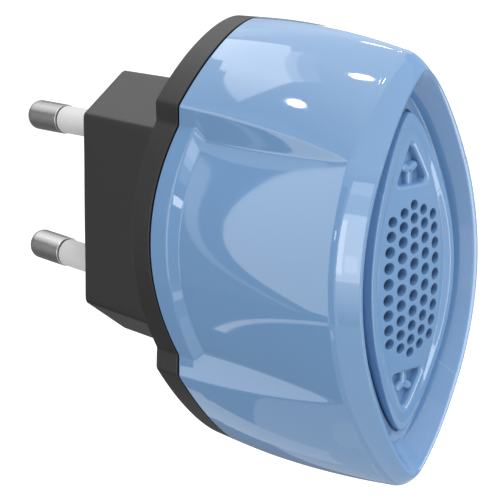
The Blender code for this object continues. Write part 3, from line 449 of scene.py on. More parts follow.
def front_band(share):
    """The band from the ridge to the crest: it draws in slowly at the sides, by s^1.25, and rounds
    over at the tips, by s^2."""
    return pointed_oval(
        RIDGE_Y - BAND_DEPTH * share, RIDGE["width"] - BAND_WIDTH * share**SIDE_POWER,
        RIDGE["top"] - BAND_DROP * share**TIP_POWER)


CREST = front_band(1.0)
OPENING = pointed_oval(FRONT_Y + LIP_DROP, CREST["width"] - LIP_WIDTH, CREST["top"] - LIP_WIDTH)
SLOPE_FOOT = {**pointed_oval(
    OPENING["y"] + SLOPE_DEPTH, OPENING["width"] - SLOPE_WIDTH, OPENING["top"] - SLOPE_LENGTH),
    "bow": GROOVE_BOW}
SEAT_MOUTH = {**pointed_oval(
    SLOPE_FOOT["y"], SLOPE_FOOT["width"] - GROOVE_WIDTH, SLOPE_FOOT["top"] - GROOVE_LENGTH),
    "bow": GROOVE_BOW}
SEAT = {**SEAT_MOUTH, "y": SEAT_MOUTH["y"] + SEAT_DEPTH, "bow": 0.0}
PORT = pointed_oval(SEAT["y"], SEAT["width"] - SEAT_LEDGE, PORT_HEIGHT / 2)
CHAMBER_Y = SEAT["y"] + SEAT_THICKNESS
print("grille recess:", np.round(2 * OPENING["width"] / MM, 1), "mm wide")

# %% The shell's grid
BEVEL_SHARE = (RIM_BAND + GRIP_BEVEL) / (PARTING_Y - RIDGE_Y)
EDGE_SUPPORT, FLANK_STEPS, BAND_STEPS = 0.014, 24, 8
CHAMBER_STEPS = (1.0, 0.8, 0.6, 0.4, 0.17)
MOUTH_SOFT, BEVEL_SOFT, RIDGE_SOFT, BAND_SOFT = 0.15 * MM, 0.22 * MM, 0.25 * MM, 0.2 * MM
LIP_SOFT, SLOPE_SOFT, SEAT_SOFT = 0.18 * MM, 0.25 * MM, 0.12 * MM
flank_shares = np.linspace(BEVEL_SHARE, 1.0, FLANK_STEPS + 1)[1:-1]
flank_shares = np.concatenate(((BEVEL_SHARE + EDGE_SUPPORT,), flank_shares, (1 - EDGE_SUPPORT,)))
band_shares = np.linspace(0.0, 1.0, BAND_STEPS + 1)[1:-1]
chamber_share = (PARTING_Y - CHAMBER_Y) / (PARTING_Y - RIDGE_Y)
chamber = [inset(flank(chamber_share * step), SHELL_WALL) for step in CHAMBER_STEPS]
chamber[0].update(y=CHAMBER_Y, bow=0.0)
chamber.append({**inset(flank(0.0), SHELL_WALL), "y": PARTING_Y - FIT_GAP})
shell_rows = [
    (rim_band(FIT_GAP), MOUTH_SOFT), (rim_band(RIM_BAND), BEVEL_SOFT),
    (flank(BEVEL_SHARE), BEVEL_SOFT), *((flank(share), 0.0) for share in flank_shares),
    (RIDGE, RIDGE_SOFT), *((front_band(share), 0.0) for share in band_shares), (CREST, BAND_SOFT),
    (OPENING, LIP_SOFT), (SLOPE_FOOT, SLOPE_SOFT), (SEAT_MOUTH, SEAT_SOFT), (SEAT, 0.0),
    (PORT, 0.0), ({**PORT, "y": CHAMBER_Y}, 0.0), *((sizes, 0.0) for sizes in chamber)]
shell_outlines, shell_reach = zip(*shell_rows)
shell_grid = round_rows(outlines(shell_outlines), shell_reach)
put_piece("shell", shell_grid, BLUE_GLOSS, "blue_gloss", "front_shell", close_rows=True)

# %% [markdown]
# ## The grille plate
# The grille is a moulding of its own that drops into the recess: a raised rim, and inside it a face
# that is domed both ways, with staggered round holes and a three-cornered pocket near each tip. A
# flat plate would give every hole the same ellipse, and on the real one the holes on the near side
# look rounder. So the face is a height field, and the tools that cut it follow the same field.

# %% The grille's surface
GRILLE_WIDTH, GRILLE_TOP = SEAT["width"] - FIT_GAP, SEAT["top"] - FIT_GAP
GRILLE_BACK_Y, FACE_Y, RIM_Y = SEAT["y"] - FIT_GAP, -52.03 * MM, -51.95 * MM
FACE_ARCH, RIM_ARCH, CAMBER_RADIUS = 1.4 * MM, 1.15 * MM, 25.0 * MM
RIM_FLAT, RIM_FOOT = 0.75 * MM, 1.4 * MM
BACK_SOFT, RIM_SOFT, CREST_SOFT, FOOT_SOFT = 0.1 * MM, 0.25 * MM, 0.2 * MM, 0.25 * MM
BACK_SHARES, FACE_STEPS, BEAD_STEPS = (0.0, 0.4, 0.8), 28, 8


def face_depth(x, z):
    """The depth of the domed face: x^2 / 2R across it, and its arch times (z / top)^2 along it."""
    return FACE_Y + x**2 / (2 * CAMBER_RADIUS) + FACE_ARCH * (z / GRILLE_TOP)**2


def rim_depth(x, z):
    """The depth of the rim's crest, which only arches along the plate."""
    return RIM_Y + RIM_ARCH * (z / GRILLE_TOP)**2


def grille_ring(draw_in, depth):
    """The plate's outline drawn in by the same distance all round: both arcs keep their centres and
    lose the distance from their radius. A number or a function of x and z gives the depth."""
    radius = (GRILLE_TOP**2 + GRILLE_WIDTH**2) / (2 * GRILLE_WIDTH)
    height = np.sqrt((radius - draw_in)**2 - (radius - GRILLE_WIDTH)**2)
    ring = outlines([pointed_oval(0.0, GRILLE_WIDTH - draw_in, height)])[0]
    ring[:, 1] = depth(ring[:, 0], ring[:, 2]) if callable(depth) else depth
    return ring


back_edge, face_edge = grille_ring(0.0, GRILLE_BACK_Y), grille_ring(RIM_FOOT, face_depth)
back_rows = back_edge * np.array(BACK_SHARES)[:, None, None]
back_rows[..., 1] = GRILLE_BACK_Y
face_rows = face_edge * np.linspace(1.0, 0.0, FACE_STEPS + 1)[1:, None, None]
face_rows[..., 1] = face_depth(face_rows[..., 0], face_rows[..., 2])
grille_rows = np.concatenate((
    back_rows, [back_edge, grille_ring(0.0, rim_depth), grille_ring(RIM_FLAT, rim_depth)],
    [face_edge], face_rows))
grille_reach = [0.0] * len(back_rows) + [BACK_SOFT, RIM_SOFT, CREST_SOFT, FOOT_SOFT]
grille_reach += [0.0] * len(face_rows)
grille_grid = round_rows(grille_rows, grille_reach, BEAD_STEPS)
grille = put_piece("grille", grille_grid, BLUE_GLOSS, "blue_gloss", "grille_plate")

# %% [markdown]
# ### Holes
# Forty-nine holes stand in five columns, a little below the plate's middle. Their steps close up
# towards the tips as they would on a ball. Each tool is a turned peg with a small flare where it
# meets the face, and all of them are one array: hole, row, side and axis. One Boolean cut then
# makes every hole.

# %% The holes
HOLE_COLUMNS, HOLE_SIDES = (9, 10, 11, 10, 9), 32
HOLE_RADIUS, HOLE_FLARE = 0.71 * MM, 0.07 * MM
HOLE_PITCH, HOLE_WRAP, COLUMN_PITCH = 1.9 * MM, 14.2 * MM, 1.97 * MM
HOLE_SHRINK, PATTERN_DROP = 0.7, 0.39 * MM
CUT_BACK_Y, CUT_ABOVE = -49.0 * MM, 0.4 * MM

counts = np.array(HOLE_COLUMNS)
column = np.repeat(np.arange(len(counts)), counts) - (len(counts) - 1) / 2
place_in_column = np.concatenate([np.arange(count) - (count - 1) / 2 for count in HOLE_COLUMNS])
hole_turn = place_in_column * HOLE_PITCH / HOLE_WRAP
hole_x = column * COLUMN_PITCH * np.cos(hole_turn)
hole_z = HOLE_WRAP * np.sin(hole_turn) - PATTERN_DROP
hole_radius = HOLE_RADIUS * np.cos(hole_turn)**HOLE_SHRINK


def pegs(x, z, radius):
    """Pegs that follow the face: from a pole above it, down the flare, which grows by as much as it
    rises, then straight through the plate to a pole behind it."""
    wide = radius + 2 * HOLE_FLARE
    widths = np.stack((0 * radius, wide, wide, radius, radius, 0 * radius), 1)[..., None]
    drops = np.array((-CUT_ABOVE, -CUT_ABOVE, -HOLE_FLARE, HOLE_FLARE))[:, None]
    angle = full_turn(HOLE_SIDES)
    peg_x = x[:, None, None] + widths * np.cos(angle)
    peg_z = z[:, None, None] + widths * np.sin(angle)
    depth = np.full_like(peg_x, CUT_BACK_Y)
    depth[:, :4] = face_depth(peg_x[:, :4], peg_z[:, :4]) + drops
    return np.stack((peg_x, depth, peg_z), -1)


carve(grille, pegs(hole_x, hole_z, hole_radius))

# %% [markdown]
# ### Windows and their catches
# Near each tip the plate has a pocket in the shape of a soft triangle, and a forked catch stands in
# it. The triangle's outline comes from its three sides by a power mean, as a rounded polygon does.
# Its lip is a quarter round that follows the domed face, and its floor is flat and thin. The catch
# is three short bars with rounded tops. Booleans cut the one and join on the other, so the plate
# stays one closed moulding.

# %% The windows
WINDOW_MIDDLE, WINDOW_FOOT, WINDOW_APEX, WINDOW_HALF = 12.8 * MM, 11.2 * MM, 16.0 * MM, 2.6 * MM
WINDOW_SHARP, WINDOW_LIP, WINDOW_FLOOR_Y = 4.5, 0.5 * MM, -50.12 * MM
LIP_START, LIP_STEPS, LIP_MARGIN, LIP_ABOVE = 18, 8, 0.3 * MM, 0.12 * MM
WINDOW_SIDES = 96


def polygon_reach(angle, normals, distances, sharp):
    """How far a soft polygon's outline lies from its middle at an angle from +X. Each side answers
    n . d / distance, and the answers are joined by a power mean: a high power is sharp."""
    heading = np.stack((np.cos(angle), np.sin(angle)), -1)
    sides = np.maximum(heading @ normals.T / distances, 0.0)
    return np.sum(sides**sharp, -1)**(-1 / sharp)


def window_ring(grow, drop, sign):
    """A ring of the window's tool: the outline of its three sides, each moved out by grow. Its
    depth is the face's plus drop, or the pocket's floor where drop is None."""
    slant = np.array((WINDOW_APEX - WINDOW_FOOT, WINDOW_HALF))
    slant /= np.linalg.norm(slant)
    normals = np.array(((0, -1), slant, slant * (-1, 1)))
    side = (WINDOW_APEX - WINDOW_MIDDLE) * slant[1]
    distances = np.array((WINDOW_MIDDLE - WINDOW_FOOT, side, side)) + grow
    angle = full_turn(WINDOW_SIDES)
    reach = polygon_reach(angle, normals, distances, WINDOW_SHARP)
    x = reach * np.cos(angle)
    z = sign * (WINDOW_MIDDLE + reach * np.sin(angle)) - PATTERN_DROP
    depth = np.full_like(x, WINDOW_FLOOR_Y) if drop is None else face_depth(x, z) + drop
    return np.stack((x, depth, z), -1)


def to_pole(ring):
    """The same ring shrunk to its middle, which closes an end."""
    return np.broadcast_to(ring.mean(0), ring.shape)


lip_turn = np.radians(np.linspace(LIP_START, 90, LIP_STEPS))
for sign in (1, -1):
    wide = WINDOW_LIP * (1 - np.sin(lip_turn[0])) + LIP_MARGIN
    lip = [(WINDOW_LIP * (1 - np.sin(turn)), WINDOW_LIP * (1 - np.cos(turn))) for turn in lip_turn]
    rings = [window_ring(wide, -LIP_ABOVE, sign)] + [window_ring(*size, sign) for size in lip]
    rings.append(window_ring(0.0, None, sign))
    above = rings[0] - (0.0, CUT_ABOVE, 0.0)
    rings = np.array([to_pole(above), above, *rings, to_pole(rings[-1])])
    carve(grille, rings)

# %% The catches
CATCH_TOP_Y, CATCH_FOOT_Y = -50.95 * MM, -50.06 * MM
CATCH_NODE, CATCH_FOOT, CATCH_ARM = (0.0, 12.7 * MM), (0.0, 10.8 * MM), (0.9 * MM, 13.2 * MM)
CATCH_HALF, CATCH_SOFT = 0.53 * MM, 0.45 * MM
CATCH_SIDES, CATCH_STEPS = 48, 6


def bar(start, end, sign):
    """A bar with round ends and a rounded top: rings of points at a distance from a straight line,
    the same distance up its side and then a quarter round to its top."""
    start, end = np.array(start), np.array(end)
    angle = full_turn(CATCH_SIDES)
    heading = np.stack((np.cos(angle), np.sin(angle)), -1)
    ends = np.where((heading @ (end - start))[:, None] > 0, end, start)
    turn = np.linspace(0.0, np.pi / 2, CATCH_STEPS + 1)
    top_half = CATCH_HALF - CATCH_SOFT * (1 - np.cos(turn))
    top_y = CATCH_TOP_Y + CATCH_SOFT * (1 - np.sin(turn))
    half = np.concatenate(((0.0, CATCH_HALF), top_half, (0.0,)))[:, None, None]
    depth = np.concatenate(((CATCH_FOOT_Y, CATCH_FOOT_Y), top_y, (CATCH_TOP_Y,)))
    plan = ends + half * heading
    depth = np.broadcast_to(depth[:, None], plan.shape[:2])
    return np.stack((plan[..., 0], depth, sign * plan[..., 1] - PATTERN_DROP), -1)


for sign in (1, -1):
    left_arm = (-CATCH_ARM[0], CATCH_ARM[1])
    for end in (CATCH_FOOT, CATCH_ARM, left_arm):
        carve(grille, bar(CATCH_NODE, end, sign), "UNION")

# %% [markdown]
# ## The black back cover
# The cover is a shallow tray with the same outline as the shell's rim. Its back leans forward
# towards the tips, and the plug comes through a six-sided hole in its floor. The hole's edge is
# found for every point of the outline by asking how far a ray at that point's angle runs before
# it meets the nearest of the six sides.

# %% The plug's six sides
PLUG_HEIGHT, PLUG_WIDTH, PLUG_FLAT = 35.3 * MM, 13.7 * MM, 25.2 * MM
PLUG_REACH, PLUG_DRAFT, HOLE_CORNERS = 16.5 * MM, 0.4 * MM, 60


def hexagon_reach(angle, grow, sharp):
    """How far the plug's six-sided outline lies from its middle at an angle from +X: the power mean
    of four slanted sides and two upright ones, each moved out by about grow."""
    half_width, half_flat = PLUG_WIDTH / 2 + grow, PLUG_FLAT / 2 + grow / 2
    apex = PLUG_HEIGHT / 2 + grow
    slant = np.array((apex - half_flat, half_width))
    slant /= np.linalg.norm(slant)
    slants = [(x * slant[0], z * slant[1]) for x in (-1, 1) for z in (-1, 1)]
    normals = np.array(slants + [(-1, 0), (1, 0)])
    distances = np.array([apex * slant[1]] * 4 + [half_width] * 2)
    return polygon_reach(angle, normals, distances, sharp)


print("half the plug's width:", np.round(hexagon_reach(0.0, 0.0, HOLE_CORNERS) / MM, 2), "mm")

# %% The cover's grid
COVER_DRAFT, COVER_WALL = 0.2 * MM, 1.8 * MM
HOLE_SOFT, COVER_SOFT, JOIN_SOFT = 0.25 * MM, 0.35 * MM, 0.15 * MM
BACK_STEPS, FLOOR_STEPS = 10, 6


def cover_outline(y, draw_in):
    """The cover's outline at a depth, drawn in by its draft."""
    return {**inset(RIM, draw_in), "y": y, "bow": COVER_BOW, "power": COVER_POWER}


def plug_hole(y, grow, angle):
    """A ring of the hole in the cover, on the cover's own leaning wall."""
    reach = hexagon_reach(angle, PLUG_DRAFT * (1 + FIT_GAP / PLUG_REACH) + grow, HOLE_CORNERS)
    x, z = reach * np.cos(angle), reach * np.sin(angle)
    return np.stack((x, bowed(y, COVER_BOW, COVER_POWER, z), z), -1)


floor_y = COVER_BACK_Y - COVER_WALL
inner_mouth = inset(RIM, COVER_WALL)
cover_sections = [
    cover_outline(COVER_BACK_Y, COVER_DRAFT), RIM, inner_mouth,
    {**inset(inner_mouth, COVER_DRAFT), "y": floor_y, "bow": COVER_BOW, "power": COVER_POWER}]
cover_rings = outlines(cover_sections)
ring_angle = np.arctan2(cover_rings[0, :, 2], cover_rings[0, :, 0])
hole_back, hole_front = (plug_hole(y, FIT_GAP, ring_angle) for y in (COVER_BACK_Y, floor_y))


def between(near, far, y, steps):
    """Rings across a leaning wall: x and z blend straight, and the depth follows the lean."""
    share = np.linspace(0.0, 1.0, steps + 1)[1:-1, None, None]
    rings = near + (far - near) * share
    rings[..., 1] = bowed(y, COVER_BOW, COVER_POWER, rings[..., 2])
    return rings


cover_rows = np.concatenate((
    hole_back[None], between(hole_back, cover_rings[0], COVER_BACK_Y, BACK_STEPS), cover_rings,
    between(cover_rings[3], hole_front, floor_y, FLOOR_STEPS), hole_front[None]))
cover_reach = [0.0] * len(cover_rows)
cover_reach[0] = HOLE_SOFT
cover_reach[BACK_STEPS], cover_reach[BACK_STEPS + 1] = COVER_SOFT, JOIN_SOFT
cover_grid = round_rows(cover_rows, cover_reach)
cover = put_piece("cover", cover_grid, BLACK_SATIN, "black_satin", "back_cover", close_rows=True)

# %% [markdown]
# ## The plug
# The plug is a six-sided moulding that tapers a little towards the wall. An extruded hexagon with a
# bevel would come close, but a stack of rings carries the taper too: a flat pin face, a small
# round, and long sides. The power mean that gave the hole's edge gives this outline as well, with a
# higher power because the moulding's corners are crisp.

# %% The plug's grid
PLUG_EDGE, PLUG_MOUTH_Y, PLUG_CORNERS = 0.45 * MM, -20.1 * MM, 90
FACE_SHARES, MOUTH_SHARES = (0.0, 0.3, 0.6, 0.85), (0.5, 0.0)
PLUG_STEPS, PLUG_SIDES = 12, 360
plug_angle = full_turn(PLUG_SIDES)


def plug_ring(y, grow, share=1.0):
    """A ring of the plug at a depth, grown by its draft, or shrunk towards the middle."""
    reach = hexagon_reach(plug_angle, grow, PLUG_CORNERS) * share
    x, z = reach * np.cos(plug_angle), reach * np.sin(plug_angle)
    return np.stack((x, np.full_like(reach, y), z), -1)


plug_depths = np.linspace(0.0, PLUG_MOUTH_Y, PLUG_STEPS + 1)
plug_rows = [plug_ring(0.0, 0.0, share) for share in FACE_SHARES]
plug_rows += [plug_ring(y, -PLUG_DRAFT * y / PLUG_REACH) for y in plug_depths]
plug_rows += [plug_ring(PLUG_MOUTH_Y, 0.0, share) for share in MOUTH_SHARES]
plug_reach = [0.0] * len(plug_rows)
plug_reach[len(FACE_SHARES)] = PLUG_EDGE
plug_grid = round_rows(np.array(plug_rows), plug_reach)
put_piece("plug", plug_grid, BLACK_SATIN, "black_satin", "plug_body")

# %% [markdown]
# ## Pins and sleeves
# Each pin is turned: a half profile of radius against height, carried round the pin's own axis,
# which leans a little towards the other pin. A bevelled cylinder would do for the tip, but a
# profile also gives the step and the thin gap below it.

# %% Pins and sleeves
PIN_DIAMETER, PIN_LENGTH, PIN_BARE = 4.0 * MM, 19.0 * MM, 7.0 * MM
PIN_PITCH, PIN_TIP_PITCH = 19.2 * MM, 18.2 * MM
SLEEVE_DIAMETER, PIN_CORE = 3.7 * MM, 2.6 * MM
PIN_ROOT, SLEEVE_GAP = 3.2 * MM, 0.15 * MM
TIP_FLAT, TIP_DROP, TIP_DOME = 0.55, 0.1 * MM, 1.1 * MM
TIP_SOFT, SIDE_SOFT, STEP_SOFT, SLEEVE_SOFT = 0.6 * MM, 1.0 * MM, 0.12 * MM, 0.15 * MM


def turned(profile, foot, direction, sides=64):
    """A turned surface: each (radius, height) of the profile makes a ring round the axis, at
    foot + height x direction + radius x (side cos a + other sin a)."""
    direction = np.asarray(direction) / np.linalg.norm(direction)
    side = np.array((1.0, 0.0, 0.0))
    other = np.cross(direction, side)
    angle = full_turn(sides)
    spokes = np.cos(angle)[:, None] * side + np.sin(angle)[:, None] * other
    radius, height = np.asarray(profile).T
    return foot + height[:, None, None] * direction + radius[:, None, None] * spokes


def soft_profile(corners, reach):
    """A profile whose marked corners are softened, as rows of one point."""
    rows = np.array([(radius, height, 0.0) for radius, height in corners])[:, None]
    return round_rows(rows, reach)[:, 0, :2]


for name, sign in (("upper", 1), ("lower", -1)):
    foot = np.array((0.0, 0.0, sign * PIN_PITCH / 2))
    direction = np.array((0.0, PIN_LENGTH, sign * (PIN_TIP_PITCH - PIN_PITCH) / 2))
    radius, shoulder = PIN_DIAMETER / 2, PIN_LENGTH - PIN_BARE
    pin_profile = soft_profile(
        [(0.0, PIN_LENGTH), (TIP_FLAT * radius, PIN_LENGTH - TIP_DROP),
         (radius, PIN_LENGTH - TIP_DOME), (radius, shoulder), (PIN_CORE / 2, shoulder),
         (PIN_CORE / 2, -PIN_ROOT), (0.0, -PIN_ROOT)],
        [0.0, TIP_SOFT, SIDE_SOFT, STEP_SOFT, 0.0, 0.0, 0.0])
    grid = turned(pin_profile, foot, direction)
    put_piece(f"pin_{name}_turned", grid, PIN_NICKEL, "pin_nickel", f"pin_{name}")
    outer, bore = SLEEVE_DIAMETER / 2, PIN_CORE / 2 + SLEEVE_GAP
    end = shoulder - SLEEVE_GAP
    sleeve_profile = soft_profile(
        [(bore, end), (outer, end), (outer, -PIN_ROOT), (bore, -PIN_ROOT)],
        [0.0, SLEEVE_SOFT, 0.0, 0.0])
    grid = turned(sleeve_profile, foot, direction)
    put_piece(
        f"sleeve_{name}", grid, SLEEVE_WHITE, "sleeve_white", f"pin_sleeve_{name}", close_rows=True)

# %% [markdown]
# ## Screws in the back
# Two pan-head screws close the case from behind and sit in sunk seats. A seat is cut with a turned
# peg. The screw's cross is no separate cut: its head is a grid in polar coordinates, and a smooth
# function of x and z lowers the points that lie in the cross.

# %% Screw seats
SCREW_FROM_TIP, SCREW_LENGTH = 4.8 * MM, 10.0 * MM
SCREW_Z = CASE_HEIGHT / 2 - SCREW_FROM_TIP
SCREW_DIAMETER, HEAD_DIAMETER, HEAD_HEIGHT, HEAD_SINK = 2.2 * MM, 3.8 * MM, 1.3 * MM, 0.4 * MM
BOSS_DIAMETER, SEAT_SIDES, SEAT_CREASE = 6.6 * MM, 48, 20
back_y = bowed(COVER_BACK_Y, COVER_BOW, COVER_POWER, SCREW_Z)
join_y = bowed(PARTING_Y, PARTING_BOW, PARTING_POWER, SCREW_Z)
seat_y = back_y - HEAD_SINK - HEAD_HEIGHT
BACKWARD = np.array((0.0, 1.0, 0.0))
boss_profile = [(0.0, back_y - COVER_WALL / 2), (BOSS_DIAMETER / 2, back_y - COVER_WALL / 2),
                (BOSS_DIAMETER / 2, join_y), (0.0, join_y)]
seat_radius, bore_radius = HEAD_DIAMETER / 2 + FIT_GAP, SCREW_DIAMETER / 2 + FIT_GAP
seat_profile = [(0.0, 0.0), (seat_radius, 0.0), (seat_radius, seat_y), (bore_radius, seat_y),
                (bore_radius, join_y - COVER_WALL), (0.0, join_y - COVER_WALL)]
for sign in (1, -1):
    spot = np.array((0.0, 0.0, sign * SCREW_Z))
    for profile, operation in ((boss_profile, "UNION"), (seat_profile, "DIFFERENCE")):
        carve(cover, turned(profile, spot, BACKWARD, SEAT_SIDES), operation, SEAT_CREASE)

# %% The screws
CROSS_HALF, CROSS_REACH, CROSS_DEPTH, CROSS_SOFT = 0.27 * MM, 1.15 * MM, 0.7 * MM, 0.14 * MM
CROWN_RADIUS, CROWN_DROP, CROWN_ROWS, HEAD_SIDES = 1.3 * MM, 0.12 * MM, 40, 128
HEAD_WAIST, HEAD_SOFT, HEAD_EDGE = 0.5, 0.3 * MM, 0.08 * MM


def smooth(value):
    """A smooth step from 0 to 1: 3 t^2 - 2 t^3, with t held between 0 and 1."""
    t = np.clip(value, 0.0, 1.0)
    return 3 * t**2 - 2 * t**3


def cross_cut(x, z):
    """How deep the cross is: each arm is a smooth step off its sides times one off its end."""
    def arm(across, along):
        return smooth((CROSS_HALF - np.abs(across)) / CROSS_SOFT + 0.5) * smooth(
            (CROSS_REACH - np.abs(along)) / (3 * CROSS_SOFT))
    return CROSS_DEPTH * np.maximum(arm(x, z), arm(z, x))


head, shank = HEAD_DIAMETER / 2, SCREW_DIAMETER / 2
crown_radius = np.linspace(0.0, CROWN_RADIUS, CROWN_ROWS)
crown = np.stack((crown_radius, HEAD_HEIGHT - CROWN_DROP * (crown_radius / CROWN_RADIUS)**2), -1)
skirt = soft_profile(
    [crown[-1], (head, HEAD_WAIST * HEAD_HEIGHT), (head, 0.0), (shank, 0.0),
     (shank, shank - SCREW_LENGTH), (0.0, -SCREW_LENGTH)],
    [0.0, HEAD_SOFT, HEAD_EDGE, 0.0, 0.0, 0.0])
for name, sign in (("upper", 1), ("lower", -1)):
    grid = turned(np.concatenate((crown, skirt[1:])), np.zeros(3), BACKWARD, HEAD_SIDES)
    grid[:len(crown), :, 1] -= cross_cut(grid[:len(crown), :, 0], grid[:len(crown), :, 2])
    grid += np.array((0.0, seat_y, sign * SCREW_Z))
    put_piece(f"screw_{name}", grid, SCREW_STEEL, "steel", f"case_screw_{name}")

# %% [markdown]
# ## The parts inside
# The transducer, the board and its parts are behind the shell, and their solids are right as they
# are. Each keeps its shape and gets a finish of its own, chosen by the record's material slot.

# %% Finishes for the parts inside
INSIDE_LOOKS = {
    "aluminium": ((0.6, 0.6, 0.61), (0.25, 0.4), 0.05, 8.0, 0.2, 1.0),
    "ceramic": ((0.71, 0.65, 0.52), (0.6, 0.75), 0.06, 5.0, 0.2),
    "foam": ((0.02, 0.02, 0.02), (0.85, 0.95), 0.2, 3.0, 0.8),
    "laminate": ((0.012, 0.13, 0.035), (0.25, 0.4), 0.12, 4.0, 0.15),
    "cap_yellow": ((0.75, 0.47, 0.04), (0.2, 0.3), 0.05, 4.0, 0.1),
    "can_slate": ((0.035, 0.04, 0.085), (0.25, 0.35), 0.08, 5.0, 0.1),
    "ferrite": ((0.035, 0.035, 0.037), (0.6, 0.75), 0.15, 6.0, 0.4),
    "epoxy": ((0.012, 0.012, 0.012), (0.45, 0.6), 0.1, 7.0, 0.3),
    "resistor": ((0.39, 0.52, 0.57), (0.3, 0.4), 0.06, 5.0, 0.1),
    "wire_red": ((0.47, 0.015, 0.012), (0.35, 0.45), 0.06, 5.0, 0.1),
}
INSIDE = {slot: finish(slot, *look) for slot, look in INSIDE_LOOKS.items()}
INSIDE["steel"] = SCREW_STEEL
dressed = [row for row in frame["record"]["subparts"] if row["material_slot"] in INSIDE]
for row in dressed:
    for holder in nodes[row["node"]].material_slots:
        holder.material = INSIDE[row["material_slot"]]
print("solids with a finish of their own:", len(dressed))

# %% [markdown]
# ## Floor and room
# The picture has a plain white ground. The floor lies well below the object, whose plug would
# hold it on a wall, and floor and world are white to the camera, in metal and through glass. The
# white comes from the Light Path node, so it adds no light to the object.

# %% Floor
FLOOR_Z, FLOOR_REACH = -400 * MM, 4.0
FLOOR_SHADE, FLOOR_ROUGHNESS, FLOOR_GLOW = 0.7, 0.9, 0.5


def maths(tree, operation, *values):
    """One Math node on numbers or outputs."""
    node = tree.nodes.new("ShaderNodeMath")
    node.operation = operation
    for value, socket in zip(values, node.inputs):
        if isinstance(value, float):
            socket.default_value = value
        else:
            tree.links.new(value, socket)
    return node.outputs[0]


def looked_at(tree):
    """1 for a ray from the camera, off a mirror or through glass, and 0 for light on a surface."""
    path = tree.nodes.new("ShaderNodeLightPath").outputs
    mirrored = maths(tree, "MAXIMUM", path["Is Glossy Ray"], path["Is Transmission Ray"])
    return maths(tree, "MAXIMUM", path["Is Camera Ray"], mirrored)


def stage_piece(name, mesh):
    """A sheet that isn't part of the object, with a material of its own."""
    sheet = new_object(name, mesh)
    material = bpy.data.materials.new(name)
    material.use_nodes = True
    mesh.materials.append(material)
    return sheet, material.node_tree


def flat_sheet(name, x, y, z):
    """A level rectangle between two values of x and two of y."""
    corners = np.array([(x[i], y[j], z) for i, j in ((0, 0), (1, 0), (1, 1), (0, 1))])
    return stage_piece(name, grid_mesh(name, corners, np.array([(0, 1, 2, 3)])))


floor_span = (-FLOOR_REACH, FLOOR_REACH)
_, floor_tree = flat_sheet("floor", floor_span, floor_span, FLOOR_Z)
floor_shader = with_values(floor_tree.nodes["Principled BSDF"], {
    "Base Color": (FLOOR_SHADE, FLOOR_SHADE, FLOOR_SHADE, 1.0), "Roughness": FLOOR_ROUGHNESS,
    "Emission Color": (1.0, 1.0, 1.0, 1.0)})
floor_glow = maths(floor_tree, "MULTIPLY", looked_at(floor_tree), FLOOR_GLOW)
floor_tree.links.new(floor_glow, floor_shader.inputs["Emission Strength"])
print("floor", 2 * FLOOR_REACH, "m across")

# %% Room
ROOM_LIGHT = 0.93
world = bpy.data.worlds.new("white_room")
bpy.context.scene.world = world
world.use_nodes = True
sky = world.node_tree.nodes["Background"]
sky.inputs["Color"].default_value = (1.0, 1.0, 1.0, 1.0)
seen = looked_at(world.node_tree)
level = maths(world.node_tree, "MULTIPLY_ADD", seen, 1.0 - ROOM_LIGHT, ROOM_LIGHT)
world.node_tree.links.new(level, sky.inputs["Strength"])
bpy.context.scene.view_settings.view_transform = "Standard"
print("room light", ROOM_LIGHT)

# %% [markdown]
# ## Lamps
# A broad key from above and a weak fill from below give the plain soft light. The three small round
# lamps light nothing: they are the bright spots that the shell's top mirrors. A lamp's power has to
# grow with its area to look as bright, so each is given by its radiance, which a mirror shows.

# %% Lamps
AIM = np.array((0.0, -35 * MM, 0.0))
LAMP_DISTANCE = 0.7


def lamp(name, turn, rise, spread, radiance, distance=LAMP_DISTANCE, lights=False):
    """A round area lamp that faces the object. turn and rise give its direction and spread its
    width, in degrees as the object sees them. Its power is pi x area x radiance, so that a mirror
    shows the radiance itself. It either lights or mirrors."""
    axes = view_axes(*np.radians((turn, rise)), 0.0)
    light = bpy.data.lights.new(name, "AREA")
    light.shape = "DISK"
    light.size = 2 * distance * np.tan(np.radians(spread) / 2)
    light.energy = np.pi * radiance * np.pi * light.size**2 / 4
    item = put_facing(name, light, axes, AIM + distance * axes[2])
    item.visible_camera, item.visible_glossy, item.visible_diffuse = False, not lights, lights


lamp("key", -10, 55, 34, 5.0, 1.6, lights=True)
lamp("fill", -70, -22, 40, 0.35, 0.8, lights=True)
lamp("lamp_low", -128.7, 32.5, 2.1, 20.0)
lamp("lamp_high", -130.8, 49.2, 2.7, 20.0)
lamp("lamp_back", -192.6, 58.6, 3.0, 20.0)
print("lamps:", len(bpy.data.lights))

# %% [markdown]
# ## Cards and flags
# A glossy moulding is seen by what it mirrors, and in an all-white room it looks chalky. So dark
# flags stand round it, as in a studio, and brighter cards stand in front of them: a wall, a ceiling
# and a window, over a table. A flat card is nearer in its middle than at its corners and can pass
# through the next. A patch of a ball keeps its distance, so all but the table are patches.

# %% Helpers for cards
CARD_DISTANCE, FLAG_DISTANCE, TABLE_Z = 0.6, 0.75, -330 * MM
CARD_ACROSS, CARD_UPWARD = 16, 24


